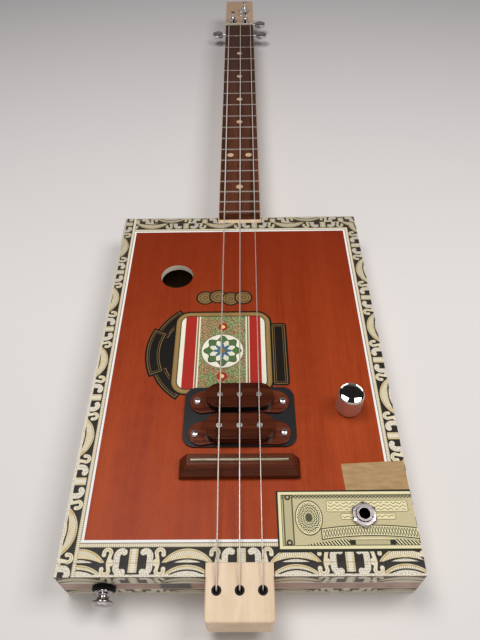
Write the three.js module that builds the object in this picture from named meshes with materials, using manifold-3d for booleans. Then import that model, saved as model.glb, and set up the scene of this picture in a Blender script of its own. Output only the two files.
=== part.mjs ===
// A three-string cigar box guitar with an electric pickup, lying on its back.
// Units are millimetres. X runs across the strings, +Y along the neck to the head, +Z up through the lid.
// The origin is the middle of the box's back, on the surface that it rests on.
import * as THREE from "three";
import { mergeVertices } from "three/addons/utils/BufferGeometryUtils.js";
import Module from "manifold-3d";

const wasm = await Module();
wasm.setup();

// Box: a bottom panel, two end walls as high as the lid, two side walls under it, and the lid between them
const boxWidth = 206;
const boxLength = 307;
const boxHeight = 34;
const lidThickness = 5;
const bottomThickness = 5;
const endWallThickness = 7.5;
const sideWallThickness = 5.5;
const jointGap = 0.1; // glue line between wooden pieces, and the seat of one hard piece on another

// Places on the lid, measured from the box's edges
const soundHoleRadius = 13;
const soundHoleFromLeftEdge = 52;
const soundHoleFromHeadEdge = 74.3;
const controlsFromRightEdge = 30;
const knobFromTailEdge = 107.4;
const jackFromTailEdge = 33.7;

// Neck: one maple stick from the tail block, through the box, to the head
const neckWidth = 38;
const neckThickness = 21;
const notchClearance = 0.4;
const tailOverhang = 23;
const tailCornerRadius = 3;
const tailEdgeEase = 1.2;
const neckBackThickness = 17;
const neckBackRadius = 8;
const heelLength = 12;
const heelRamp = 22;
const headThickness = 14;
const headLength = 97.5;
const headCornerRadius = 2.5;
const headRampStart = 14; // before the nut
const headRampEnd = 6; // past the nut

// Strings and scale
const scaleLength = 635;
const saddleCompensation = 3.5;
const saddleFromTailEdge = 65;
const stringRadii = [0.5, 0.42, 0.3];
const nutPlaces = [-14, 1.2, 14.4]; // across the neck, from its centre line
const tailSpacing = 12.65;
const stringHoleFromTailEdge = 7;
const stringContactGap = 0.1;
const treeFromNut = 46; // where the retainer holds the middle string down
const treeStringHeight = 4.6;

// Fretboard and frets
const fretCount = 17;
const fretboardThickness = 6.6;
const fretboardEdgeEase = 0.8;
const fretboardPastLastFret = 2.6;
const fretboardPastNut = 2.2;
const fretCrownWidth = 2;
const fretCrownHeight = 1;
const nutThickness = 2.8;
const nutAboveBoard = 1.6;
const nutSlotDepth = 2;
const nutEdgeRadius = 0.6;
const nutOverhang = 1.5; // past the board, on the low string's side
const tangWidth = 0.6;
const tangDepth = 1.8;
const slotClearance = 0.1;

// Bridge
const bridgeLength = 75;
const bridgeDepth = 12.9;
const bridgeHeight = 9.5;
const bridgeFootHeight = 4; // where the slope towards the tail starts
const bridgeEndFootHeight = 2; // where the slopes of the two ends start
const bridgeTopInset = 5.4; // along the strings, towards the tail
const bridgeEndInset = 5; // across the strings, each end
const bridgeBackEase = 0.8;
const bridgeArchSpan = 30;
const bridgeArchHeight = 3.2;
const saddleLength = 60;
const saddleCrownWidth = 2.4;
const saddleCrownHeight = 1.4;
const saddleFromBridgeFront = 8.4;

// Pickup: a plate on the lid that carries two three-pole units
const plateWidth = 74;
const plateDepth = 45;
const plateThickness = 1.5;
const plateCornerRadius = 8;
const pickupFromSaddle = 35.6;
const unitPitch = 23.4;
const unitBaseLength = 66.5;
const unitEarRadius = 8.4;
const unitEarOffset = 2; // of the ears from the coil's middle, towards the tail
const unitBaseThickness = 1.8;
const coilLength = 45.4;
const coilDepth = 18.8;
const unitBaseSetback = 0.6; // of the base behind the coil's long sides
const coilHeight = 4.2;
const coverThickness = 1.2;
const poleRadius = 1.9;
const poleSpacing = 13;
const poleProud = 0.5;
const magnetBarHeight = 1.6;
const magnetBarWidth = 5;
const magnetBarPastPoles = 3.5;
const pickupFit = 0.25;
const leadHoleRadius = 2.2;
const leadHoleX = 24;

// Volume control
const potRadius = 12;
const potHeight = 9;
const potBushingRadius = 3.5;
const potBushingAboveLid = 3.6;
const potNutFlats = 10;
const potNutHeight = 2;
const potShaftRadius = 3;
const potShaftAboveLid = 14;
const potShaftInPot = 6;
const knobRadius = 8.5;
const knobHeight = 17;
const knobLift = 1;
const knobDomeRise = 1.6;
const knobRecessRadius = 6.7;
const knobRecessDepth = 5;
const runningGap = 0.3;

// Output jack
const jackBushingRadius = 4.7;
const jackBoreRadius = 3.3;
const jackAboveLid = 3.4;
const jackFlangeRadius = 9;
const jackFlangeThickness = 1.5;
const jackSleeveRadius = 5.4;
const jackSleeveLength = 7;
const jackSpringWidth = 5;
const jackSpringThickness = 1;
const jackSpringLength = 13;
const jackNutFlats = 14;
const jackNutHeight = 2.3;

// Strap button on the tail end wall
const strapButtonFromLeftEdge = 25.2;
const strapButtonHeight = 17;
const feltRadius = 6.8;
const feltThickness = 2.6;
const strapFlangeRadius = 5.4;
const strapFaceRadius = 6.2;
const strapWaistRadius = 3.4;
const strapButtonLength = 7;
const strapRimThickness = 1.4;
const strapScrewRadius = 1.6;
const strapScrewDepth = 6;

// Tuners: places across the head and from the nut, then the machine itself
const tunerPlaces = [
  { name: "left", side: -1, string: 0, x: -8.8, fromNut: 25 },
  { name: "right_far", side: 1, string: 1, x: 7.4, fromNut: 57.5 },
  { name: "right_near", side: 1, string: 2, x: 8.4, fromNut: 21.5 },
];
const postRadius = 3;
const postWaistRadius = 2.2;
const postAboveHead = 13.8;
const postCapHeight = 1.5;
const postWaistHeight = 4.8;
const stringHoleRadius = 0.8;
const gearTeeth = 14;
const gearTipRadius = 4.7;
const gearRootRadius = 3.8;
const gearPitchRadius = 4.2;
const gearThickness = 1.8;
const wormCoreRadius = 1.2;
const wormCrestRadius = 1.9;
const wormThreadWidth = 0.5;
const wormTurns = 3;
const wormOffset = 6.35; // from the post's axis, along the neck
const wormBelowHead = 5.7;
const housingHeight = 11;
const housingHalfWidth = 7;
const housingWall = 1.4;
const housingCornerRadius = 3;
const bushingRadius = 4.6;
const bushingFlangeRadius = 5.4;
const bushingFlangeThickness = 1.4;
const bushingDomeHeight = 4;
const stemRadius = 1.6;
const stemCollarRadius = 2.8;
const stemCollarLength = 1.6;
const buttonFromPost = 14.6;
const buttonLength = 15;
const buttonBreadth = 16;
const buttonThickness = 5;
const buttonBevel = 1.5;
const windTurns = 2;
const windPitch = 1.45;
const windGap = 0.3;

// Ferrules in the tail block, and the ball ends of the strings
const ferruleRadius = 2.7;
const ferruleBoreRadius = 1.2;
const ferruleLength = 4;
const ferruleProud = 0.3;
const ballRadius = 1.9;
const ballRecessDepth = 5;
const stringBendRadius = 1.2;
const tailHoleRadius = 1.3;

// Wiring inside the box
const wireRadius = 1.2;

// Fineness of round shapes, and how far a cutting tool runs past what it cuts
const overrun = 1;
const roundSegments = 32;
const smallSegments = 16;
const windStepsPerTurn = 24;
const mergeTolerance = 1e-4;

// Levels and places that follow from the sizes above
const lidTop = boxHeight;
const lidUnderside = lidTop - lidThickness;
const floorTop = bottomThickness;
const tailEdge = -boxLength / 2;
const leftEdge = -boxWidth / 2;
const rightEdge = boxWidth / 2;
const soundHoleX = leftEdge + soundHoleFromLeftEdge;
const controlsX = rightEdge - controlsFromRightEdge;
const strapButtonX = leftEdge + strapButtonFromLeftEdge;
const headEdge = boxLength / 2;
const insideHalfLength = boxLength / 2 - endWallThickness;
const neckBottom = lidTop - neckThickness;
const saddleY = tailEdge + saddleFromTailEdge;
const nutY = saddleY + scaleLength + saddleCompensation;
const headEndY = nutY + headLength;
const fretboardBottom = lidTop + jointGap;
const fretboardTop = fretboardBottom + fretboardThickness;
const fretboardWidth = neckWidth - 2 * fretboardEdgeEase;
const saddleTop = lidTop + jointGap + bridgeHeight + saddleCrownHeight;
const nutTop = fretboardTop + nutAboveBoard;
const knobY = tailEdge + knobFromTailEdge;
const jackY = tailEdge + jackFromTailEdge;
const stringHoleY = tailEdge - stringHoleFromTailEdge;
const pickupY = saddleY + pickupFromSaddle;
const leadHoleY = pickupY + unitPitch / 2 - unitEarOffset;
const headBack = lidTop - headThickness;
const neckBack = lidTop - neckBackThickness;

// Materials
const material = (color, roughness, metalness = 0) =>
  new THREE.MeshStandardMaterial({ color, roughness, metalness });
const cedar = material(0x8c3a20, 0.45);
const edgePaper = material(0xd8d0b4, 0.6);
const maple = material(0xe8cda6, 0.5);
const rosewood = material(0x45241a, 0.5);
const fretSilver = material(0xc8c6c0, 0.3, 1);
const bone = material(0xe9e2cf, 0.4);
const chrome = material(0xd5d5d8, 0.12, 1);
const blackPlastic = material(0x141414, 0.5);
const blackRubber = material(0x101010, 0.9);
const stringSteel = material(0xbdb7ac, 0.35, 1);
const feltBlack = material(0x0c0c0c, 1);
const zincPlate = material(0xa8a8a0, 0.4, 1);

const guitar = new THREE.Group();

// Adds a named mesh to a group, at a place.
function addPiece(name, geometry, finish, place = [0, 0, 0], group = guitar) {
  const mesh = new THREE.Mesh(geometry, finish);
  mesh.name = name;
  mesh.position.set(...place);
  group.add(mesh);
  return mesh;
}

// A closed geometry as a solid that can be joined and cut.
function solidOf(geometry) {
  const bare = geometry.index ? geometry.toNonIndexed() : geometry.clone();
  bare.deleteAttribute("normal");
  bare.deleteAttribute("uv");
  const merged = mergeVertices(bare, mergeTolerance);
  return new wasm.Manifold(
    new wasm.Mesh({
      numProp: 3,
      vertProperties: merged.attributes.position.array,
      triVerts: new Uint32Array(merged.index.array),
    }),
  );
}

// A solid as a geometry again.
function geometryOf(solid) {
  const mesh = solid.getMesh();
  const stride = mesh.numProp;
  const corners = new Float32Array((mesh.vertProperties.length / stride) * 3);
  for (let i = 0; i * stride < mesh.vertProperties.length; i++)
    corners.set(mesh.vertProperties.subarray(i * stride, i * stride + 3), i * 3);
  const geometry = new THREE.BufferGeometry()
    .setAttribute("position", new THREE.BufferAttribute(corners, 3))
    .setIndex(new THREE.BufferAttribute(new Uint32Array(mesh.triVerts), 1));
  geometry.computeVertexNormals();
  return geometry;
}

const join = (first, ...others) =>
  geometryOf(others.reduce((whole, other) => whole.add(solidOf(other)), solidOf(first)));
const cut = (first, ...tools) =>
  geometryOf(tools.reduce((whole, tool) => whole.subtract(solidOf(tool)), solidOf(first)));
const common = (first, second) => geometryOf(solidOf(first).intersect(solidOf(second)));

// A box between two corners.
function block([x0, y0, z0], [x1, y1, z1]) {
  return new THREE.BoxGeometry(x1 - x0, y1 - y0, z1 - z0).translate(
    (x0 + x1) / 2,
    (y0 + y1) / 2,
    (z0 + z1) / 2,
  );
}

// An upright round rod between two heights.
function rod(radius, z0, z1, segments = smallSegments) {
  return new THREE.CylinderGeometry(radius, radius, z1 - z0, segments)
    .rotateX(Math.PI / 2)
    .translate(0, 0, (z0 + z1) / 2);
}

// An upright turned form. The profile lists [radius, height] from the bottom of the axis to its top.
function turned(profile, segments = roundSegments) {
  const points = profile.map(([radius, height]) => new THREE.Vector2(radius, height));
  return new THREE.LatheGeometry(points, segments).rotateX(Math.PI / 2);
}

// A flat outline in X and Y, made solid between two heights.
function slab(shape, z0, z1, curveSegments = 8) {
  return new THREE.ExtrudeGeometry(shape, {
    depth: z1 - z0,
    bevelEnabled: false,
    curveSegments,
  }).translate(0, 0, z0);
}

// An outline of [y, z] points, made solid from x0 to x1.
function sideSlab(outline, x0, x1, curveSegments = 8) {
  const shape = outline instanceof THREE.Shape ? outline : polygon(outline);
  // Extruding along +Z and turning the outline's X and Y to the part's Y and Z sends the depth along +X.
  return new THREE.ExtrudeGeometry(shape, { depth: x1 - x0, bevelEnabled: false, curveSegments })
    .rotateX(Math.PI / 2)
    .rotateZ(Math.PI / 2)
    .translate(x0, 0, 0);
}

// An outline of [x, z] points, made solid from y0 to y1.
function endSlab(outline, y0, y1, curveSegments = 8) {
  const shape = outline instanceof THREE.Shape ? outline : polygon(outline);
  return new THREE.ExtrudeGeometry(shape, { depth: y1 - y0, bevelEnabled: false, curveSegments })
    .rotateX(Math.PI / 2)
    .translate(0, y1, 0);
}

const polygon = (points) => new THREE.Shape(points.map(([a, b]) => new THREE.Vector2(a, b)));

function roundedRectangle(width, depth, radius) {
  const x = width / 2;
  const y = depth / 2;
  const shape = new THREE.Shape();
  shape.moveTo(-x + radius, -y);
  shape.lineTo(x - radius, -y);
  shape.absarc(x - radius, -y + radius, radius, -Math.PI / 2, 0);
  shape.lineTo(x, y - radius);
  shape.absarc(x - radius, y - radius, radius, 0, Math.PI / 2);
  shape.lineTo(-x + radius, y);
  shape.absarc(-x + radius, y - radius, radius, Math.PI / 2, Math.PI);
  shape.lineTo(-x, -y + radius);
  shape.absarc(-x + radius, -y + radius, radius, Math.PI, 1.5 * Math.PI);
  return shape;
}

const obround = (length, depth) => roundedRectangle(length, depth, depth / 2);

function hexagon(flats) {
  const corner = flats / Math.sqrt(3);
  return polygon(
    [0, 1, 2, 3, 4, 5].map((i) => [
      corner * Math.cos((i * Math.PI) / 3),
      corner * Math.sin((i * Math.PI) / 3),
    ]),
  );
}

// The waste outside a quarter round of a given radius, in the corner at the outline's origin.
function cornerWaste(radius, signA, signB) {
  const steps = 6;
  const points = [
    [-signA * overrun, -signB * overrun],
    [signA * radius, -signB * overrun],
  ];
  for (let i = 0; i <= steps; i++) {
    const turn = (i / steps) * (Math.PI / 2);
    points.push([
      signA * radius * (1 - Math.sin(turn)),
      signB * radius * (1 - Math.cos(turn)),
    ]);
  }
  points.push([-signA * overrun, signB * radius]);
  return signA * signB > 0 ? points : points.reverse();
}

// Box panels and walls
function makeBox() {
  const halfWidth = boxWidth / 2;
  const lidHalfLength = insideHalfLength - jointGap;
  const wallBottom = floorTop + jointGap;
  const lid = cut(
    block([-halfWidth, -lidHalfLength, lidUnderside], [halfWidth, lidHalfLength, lidTop]),
    rod(soundHoleRadius, lidUnderside - overrun, lidTop + overrun, roundSegments).translate(
      soundHoleX,
      headEdge - soundHoleFromHeadEdge,
      0,
    ),
    rod(potBushingRadius + runningGap, lidUnderside - overrun, lidTop + overrun).translate(
      controlsX,
      knobY,
      0,
    ),
    rod(jackBushingRadius + runningGap, lidUnderside - overrun, lidTop + overrun).translate(
      controlsX,
      jackY,
      0,
    ),
    rod(leadHoleRadius, lidUnderside - overrun, lidTop + overrun).translate(
      leadHoleX,
      leadHoleY,
      0,
    ),
  );
  addPiece("lid_panel", lid, cedar);
  addPiece(
    "bottom_panel",
    block([-halfWidth, tailEdge, 0], [halfWidth, headEdge, bottomThickness]),
    edgePaper,
  );

  const sideLength = insideHalfLength - jointGap;
  for (const [name, side] of [
    ["left_side_wall", -1],
    ["right_side_wall", 1],
  ]) {
    const wall = new THREE.BoxGeometry(
      sideWallThickness,
      2 * sideLength,
      lidUnderside - jointGap - wallBottom,
    );
    addPiece(name, wall, edgePaper, [
      side * (halfWidth - sideWallThickness / 2),
      0,
      (wallBottom + lidUnderside - jointGap) / 2,
    ]);
  }

  const notchHalf = neckWidth / 2 + notchClearance;
  const notchFloor = neckBottom - jointGap;
  const endWall = () =>
    cut(
      block(
        [-halfWidth, -endWallThickness / 2, wallBottom],
        [halfWidth, endWallThickness / 2, lidTop],
      ),
      block(
        [-notchHalf, -endWallThickness / 2 - overrun, notchFloor],
        [notchHalf, endWallThickness / 2 + overrun, lidTop + overrun],
      ),
    );
  const strapScrewHole = new THREE.CylinderGeometry(
    strapScrewRadius + jointGap,
    strapScrewRadius + jointGap,
    strapScrewDepth + jointGap + overrun,
    smallSegments,
  ).translate(
    strapButtonX,
    -endWallThickness / 2 + (strapScrewDepth + jointGap - overrun) / 2,
    strapButtonHeight,
  );
  addPiece("tail_end_wall", cut(endWall(), strapScrewHole), edgePaper, [
    0,
    tailEdge + endWallThickness / 2,
    0,
  ]);
  addPiece("head_end_wall", endWall(), edgePaper, [0, headEdge - endWallThickness / 2, 0]);
}

// Where each string leaves the tail block, and where each tuner's post stands
const tailX = (index) => (index - 1) * tailSpacing;
const tunerAxis = ({ x, fromNut }) => [x, nutY + fromNut];

// Neck stick: tail block, thinner run under the lid, rounded neck and thin head
function makeNeck() {
  const half = neckWidth / 2;
  const tailEndY = tailEdge - tailOverhang;
  const heelEnd = headEdge + heelLength;
  const backEnd = nutY - headRampStart;
  const profile = [
    [tailEndY, neckBottom],
    [heelEnd, neckBottom],
    [heelEnd + heelRamp, neckBack],
    [backEnd, neckBack],
    [nutY + headRampEnd, headBack],
    [headEndY, headBack],
    [headEndY, lidTop],
    [insideHalfLength, lidTop],
    [insideHalfLength, lidUnderside - jointGap],
    [-insideHalfLength, lidUnderside - jointGap],
    [-insideHalfLength, lidTop],
    [tailEndY, lidTop],
  ];
  const edgeWaste = (sideX) =>
    endSlab(cornerWaste(neckBackRadius, -sideX, 1), heelEnd + heelRamp, backEnd).translate(
      sideX * half,
      0,
      neckBack,
    );
  const uprightWaste = (sideX, y, sideY, radius) =>
    slab(
      polygon(cornerWaste(radius, -sideX, -sideY)),
      neckBottom - overrun,
      lidTop + overrun,
    ).translate(sideX * half, y, 0);
  const tools = [
    edgeWaste(-1),
    edgeWaste(1),
    uprightWaste(-1, tailEndY, -1, tailCornerRadius),
    uprightWaste(1, tailEndY, -1, tailCornerRadius),
    uprightWaste(-1, headEndY, 1, headCornerRadius),
    uprightWaste(1, headEndY, 1, headCornerRadius),
    sideSlab(cornerWaste(tailEdgeEase, 1, -1), -half - overrun, half + overrun).translate(
      0,
      tailEndY,
      lidTop,
    ),
    ...[-1, 1].map((sideX) =>
      endSlab(cornerWaste(tailEdgeEase, -sideX, -1), tailEndY - overrun, tailEdge).translate(
        sideX * half,
        0,
        lidTop,
      ),
    ),
  ];
  for (const index of stringRadii.keys()) {
    const place = [tailX(index), stringHoleY, 0];
    tools.push(
      rod(tailHoleRadius, neckBottom - overrun, lidTop + overrun).translate(...place),
      rod(
        ferruleRadius + jointGap,
        lidTop + ferruleProud - ferruleLength - jointGap,
        lidTop + overrun,
      ).translate(...place),
      rod(ballRadius + runningGap, neckBottom - overrun, neckBottom + ballRecessDepth).translate(
        ...place,
      ),
    );
  }
  for (const tuner of tunerPlaces)
    tools.push(
      rod(bushingRadius + jointGap, headBack - overrun, lidTop + overrun).translate(
        ...tunerAxis(tuner),
        0,
      ),
    );
  addPiece("neck", cut(sideSlab(profile, -half, half), ...tools), maple);
}

// Ferrule: a black sleeve with a flared mouth
function makeFerrules() {
  const bottom = ferruleProud - ferruleLength;
  const mouthRadius = (ferruleRadius + ferruleBoreRadius) / 2;
  const sleeve = turned(
    [
      [ferruleBoreRadius, bottom],
      [ferruleRadius, bottom],
      [ferruleRadius, ferruleProud / 2],
      [ferruleRadius - ferruleProud / 2, ferruleProud],
      [mouthRadius, ferruleProud],
      [ferruleBoreRadius, bottom + ferruleLength / 2],
      [ferruleBoreRadius, bottom],
    ],
    smallSegments,
  );
  for (const index of stringRadii.keys())
    addPiece(`string_ferrule_${index + 1}`, sleeve.clone(), blackRubber, [
      tailX(index),
      stringHoleY,
      lidTop,
    ]);
}

// Fret wire section across its length: a round crown on a tang, as [y, z] points about the board's surface
function fretSection(crownWidth, crownHeight, depth = tangDepth) {
  const steps = 6;
  const points = [
    [-tangWidth / 2, 0],
    [-tangWidth / 2, -depth],
    [tangWidth / 2, -depth],
    [tangWidth / 2, 0],
  ];
  for (let i = 0; i <= steps; i++) {
    const turn = (i / steps) * Math.PI;
    points.push([(crownWidth / 2) * Math.cos(turn), crownHeight * Math.sin(turn)]);
  }
  return points;
}

const fretY = (number) => nutY - scaleLength * (1 - 2 ** (-number / 12));

// Fretboard with a slot for each wire and one for the nut, and the pieces in them
function makeFretboard() {
  const half = fretboardWidth / 2;
  const start = fretY(fretCount) - fretboardPastLastFret;
  const slot = (y, width, depth) =>
    block(
      [-half - overrun, y - width / 2 - slotClearance, fretboardTop - depth - slotClearance],
      [half + overrun, y + width / 2 + slotClearance, fretboardTop + overrun],
    );
  const numbers = Array.from({ length: fretCount }, (_, i) => i + 1);
  const board = block(
    [-half, start, fretboardBottom],
    [half, nutY + fretboardPastNut, fretboardTop],
  );
  addPiece(
    "fretboard",
    cut(
      board,
      slot(nutY, nutThickness, nutSlotDepth),
      ...numbers.map((number) => slot(fretY(number), tangWidth, tangDepth)),
    ),
    rosewood,
  );
  for (const number of numbers)
    addPiece(
      `fret_${String(number).padStart(2, "0")}`,
      sideSlab(fretSection(fretCrownWidth, fretCrownHeight), -half, half),
      fretSilver,
      [0, fretY(number), fretboardTop + slotClearance / 2],
    );
  const nutHalf = nutThickness / 2;
  const nutSection = [
    [-nutHalf, -nutSlotDepth],
    [nutHalf, -nutSlotDepth],
    [nutHalf, nutAboveBoard - nutEdgeRadius],
    [nutHalf - nutEdgeRadius, nutAboveBoard],
    [nutEdgeRadius - nutHalf, nutAboveBoard],
    [-nutHalf, nutAboveBoard - nutEdgeRadius],
  ];
  addPiece("nut", sideSlab(nutSection, -half - nutOverhang, half), bone, [0, nutY, fretboardTop]);
}

// Bridge: rosewood with sloped ends and tail side, an arch under it, and a length of wire as its saddle
function makeBridge() {
  const bottom = lidTop + jointGap;
  const top = bottom + bridgeHeight;
  const front = saddleY - saddleFromBridgeFront;
  const back = front + bridgeDepth;
  const halfLength = bridgeLength / 2;
  const halfTop = halfLength - bridgeEndInset;
  const halfSaddle = saddleLength / 2;
  const alongStrings = sideSlab(
    [
      [front, bottom],
      [back, bottom],
      [back, top - bridgeBackEase],
      [back - bridgeBackEase, top],
      [front + bridgeTopInset, top],
      [front, bottom + bridgeFootHeight],
    ],
    -halfLength,
    halfLength,
  );
  const acrossStrings = endSlab(
    [
      [-halfLength, bottom],
      [halfLength, bottom],
      [halfLength, bottom + bridgeEndFootHeight],
      [halfTop, top],
      [-halfTop, top],
      [-halfLength, bottom + bridgeEndFootHeight],
    ],
    front - overrun,
    back + overrun,
  );
  const arch = new THREE.Shape();
  arch.moveTo(-bridgeArchSpan / 2, bottom - overrun);
  arch.lineTo(bridgeArchSpan / 2, bottom - overrun);
  arch.lineTo(bridgeArchSpan / 2, bottom);
  arch.quadraticCurveTo(0, bottom + 2 * bridgeArchHeight, -bridgeArchSpan / 2, bottom);
  const slotFloor = top - tangDepth - slotClearance;
  const slot = block(
    [-halfSaddle - slotClearance, saddleY - tangWidth / 2 - slotClearance, slotFloor],
    [halfSaddle + slotClearance, saddleY + tangWidth / 2 + slotClearance, top + overrun],
  );
  const body = cut(
    common(alongStrings, acrossStrings),
    endSlab(arch, front - overrun, back + overrun, 10),
    slot,
  );
  addPiece("bridge", body, rosewood);
  addPiece(
    "saddle_wire",
    sideSlab(
      fretSection(saddleCrownWidth, saddleCrownHeight - slotClearance / 2),
      -halfSaddle,
      halfSaddle,
    ),
    fretSilver,
    [0, saddleY, top + slotClearance / 2],
  );
}

// Outline of a pickup unit's base: two round ears, joined to a waist under the coil by straight edges
function unitOutline() {
  const ear = unitBaseLength / 2 - unitEarRadius;
  const halfCoil = coilLength / 2 - coilDepth / 2;
  const halfDepth = coilDepth / 2 - unitBaseSetback;
  // The turn round the right ear at which the straight edge from the waist's corner touches it
  const touch = (waistY, side) => {
    const dx = halfCoil - ear;
    const dy = waistY + unitEarOffset;
    return Math.atan2(dy, dx) - side * Math.acos(unitEarRadius / Math.hypot(dx, dy));
  };
  const low = touch(-halfDepth, -1);
  const high = touch(halfDepth, 1);
  const shape = new THREE.Shape();
  shape.moveTo(halfCoil, -halfDepth);
  shape.absarc(ear, -unitEarOffset, unitEarRadius, low, high);
  shape.lineTo(halfCoil, halfDepth);
  shape.lineTo(-halfCoil, halfDepth);
  shape.absarc(-ear, -unitEarOffset, unitEarRadius, Math.PI - high, Math.PI - low);
  shape.lineTo(-halfCoil, -halfDepth);
  return shape;
}

// Pickup: plate, and two units of base, coil, cover and three poles on a magnet bar
function makePickup() {
  const plateBottom = lidTop + jointGap;
  const plateTop = plateBottom + plateThickness;
  const baseBottom = plateTop + jointGap;
  const coilBottom = baseBottom + unitBaseThickness + jointGap;
  const coilTop = coilBottom + coilHeight;
  const coverBottom = coilTop + jointGap;
  const coverTop = coverBottom + coverThickness;
  const plate = cut(
    slab(roundedRectangle(plateWidth, plateDepth, plateCornerRadius), 0, plateThickness),
    rod(leadHoleRadius, -overrun, plateThickness + overrun).translate(
      leadHoleX,
      leadHoleY - pickupY,
      0,
    ),
  );
  addPiece("pickup_plate", plate, blackPlastic, [0, pickupY, plateBottom]);

  const barHalf = poleSpacing + magnetBarPastPoles;
  const poleXs = stringRadii.map((_, index) => (index - 1) * poleSpacing);
  const poleHoles = (z0, z1) =>
    poleXs.map((x) => rod(poleRadius + pickupFit, z0 - overrun, z1 + overrun).translate(x, 0, 0));
  const coilBody = slab(obround(coilLength, coilDepth), 0, coilHeight);
  const barPocket = block(
    [-barHalf - pickupFit, -magnetBarWidth / 2 - pickupFit, -overrun],
    [barHalf + pickupFit, magnetBarWidth / 2 + pickupFit, magnetBarHeight + pickupFit],
  );
  const coil = cut(coilBody, barPocket, ...poleHoles(0, coilHeight));
  const cover = cut(
    slab(obround(coilLength, coilDepth), 0, coverThickness),
    ...poleHoles(0, coverThickness),
  );
  const magnets = join(
    block([-barHalf, -magnetBarWidth / 2, 0], [barHalf, magnetBarWidth / 2, magnetBarHeight]),
    ...poleXs.map((x) =>
      rod(poleRadius, magnetBarHeight / 2, coverTop + poleProud - coilBottom).translate(x, 0, 0),
    ),
  );
  const base = slab(unitOutline(), 0, unitBaseThickness);
  for (const [number, side] of [
    [1, 1],
    [2, -1],
  ]) {
    const y = pickupY + (side * unitPitch) / 2;
    addPiece(`pickup_base_${number}`, base.clone(), rosewood, [0, y, baseBottom]);
    addPiece(`pickup_coil_${number}`, coil.clone(), blackPlastic, [0, y, coilBottom]);
    addPiece(`pickup_cover_${number}`, cover.clone(), rosewood, [0, y, coverBottom]);
    addPiece(`pickup_poles_${number}`, magnets.clone(), fretSilver, [0, y, coilBottom]);
  }
}

// Volume control: the pot hangs under the lid, its shaft turns in it and carries the knob
function makeVolumeControl() {
  const potTop = lidUnderside - jointGap;
  const bushingTop = lidTop + potBushingAboveLid;
  const shaftBottom = potTop - potShaftInPot;
  const pot = cut(
    join(
      rod(potRadius, potTop - potHeight, potTop, roundSegments),
      rod(potBushingRadius, potTop - overrun, bushingTop),
      slab(hexagon(potNutFlats), lidTop + jointGap, lidTop + jointGap + potNutHeight),
    ),
    rod(potShaftRadius + runningGap / 2, shaftBottom - runningGap, bushingTop + overrun),
  );
  const place = [controlsX, knobY, 0];
  addPiece("volume_pot", pot, zincPlate, place);
  addPiece("pot_shaft", rod(potShaftRadius, shaftBottom, lidTop + potShaftAboveLid), zincPlate, place);

  const bottom = lidTop + knobLift;
  const shoulder = bottom + knobHeight - knobDomeRise;
  const edge = knobDomeRise / 2;
  const knob = turned([
    [0, lidTop + potShaftAboveLid + jointGap],
    [potShaftRadius + jointGap, lidTop + potShaftAboveLid + jointGap],
    [potShaftRadius + jointGap, bottom + knobRecessDepth],
    [knobRecessRadius, bottom + knobRecessDepth],
    [knobRecessRadius, bottom],
    [knobRadius, bottom],
    [knobRadius, shoulder],
    [knobRadius - edge / 2, shoulder + edge],
    [knobRadius - 2 * edge, shoulder + edge + edge / 2],
    [knobRadius / 2, bottom + knobHeight - edge / 4],
    [0, bottom + knobHeight],
  ]);
  addPiece("volume_knob", knob, chrome, place);
}

// Output jack: a threaded bushing through the lid, with its flange, sleeve and contact spring under it
function makeJack() {
  const flangeTop = lidUnderside - jointGap;
  const flangeBottom = flangeTop - jackFlangeThickness;
  const sleeveBottom = flangeBottom - jackSleeveLength;
  const top = lidTop + jackAboveLid;
  const springX = jackBoreRadius + runningGap + jackSpringThickness;
  const body = cut(
    join(
      rod(jackBushingRadius, flangeTop - overrun, top, roundSegments),
      rod(jackFlangeRadius, flangeBottom, flangeTop, roundSegments),
      rod(jackSleeveRadius, sleeveBottom, flangeTop - jackFlangeThickness / 2, roundSegments),
      block(
        [-springX, -jackSpringWidth / 2, sleeveBottom - jackSpringLength / 2],
        [-springX + jackSpringThickness, jackSpringWidth / 2, flangeBottom + jackFlangeThickness / 2],
      ),
    ),
    rod(jackBoreRadius, sleeveBottom - overrun, top + overrun, roundSegments),
  );
  const place = [controlsX, jackY, 0];
  addPiece("output_jack", body, chrome, place);
  const nutBottom = lidTop + jointGap;
  const nut = cut(
    slab(hexagon(jackNutFlats), nutBottom, nutBottom + jackNutHeight).rotateZ(Math.PI / 6),
    rod(
      jackBushingRadius + jointGap,
      nutBottom - overrun,
      nutBottom + jackNutHeight + overrun,
      roundSegments,
    ),
  );
  addPiece("jack_nut", nut, chrome, place);
}

// Strap button: a felt washer on the tail end wall and a turned button with its screw
function makeStrapButton() {
  const place = [strapButtonX, tailEdge, strapButtonHeight];
  const towardsTail = (geometry) => geometry.rotateX(Math.PI / 2);
  const feltBack = jointGap;
  const feltFront = feltBack + feltThickness;
  const boreRadius = strapScrewRadius + runningGap;
  const felt = turned(
    [
      [boreRadius, feltBack],
      [feltRadius, feltBack],
      [feltRadius, feltFront],
      [boreRadius, feltFront],
      [boreRadius, feltBack],
    ],
    roundSegments,
  );
  addPiece("strap_felt", towardsTail(felt), feltBlack, place);
  const start = feltFront + jointGap;
  const end = start + strapButtonLength;
  const waist = start + strapButtonLength / 2;
  const button = turned(
    [
      [0, -strapScrewDepth],
      [strapScrewRadius, -strapScrewDepth + strapScrewRadius],
      [strapScrewRadius, start],
      [strapFlangeRadius, start],
      [strapFlangeRadius, start + strapRimThickness / 2],
      [strapWaistRadius, waist - strapRimThickness / 2],
      [strapWaistRadius, waist + strapRimThickness / 2],
      [strapFaceRadius, end - strapRimThickness],
      [strapFaceRadius, end - strapRimThickness / 4],
      [strapFaceRadius - strapRimThickness / 4, end],
      [0, end],
    ],
    roundSegments,
  );
  addPiece("strap_button", towardsTail(button), chrome, place);
}

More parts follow.
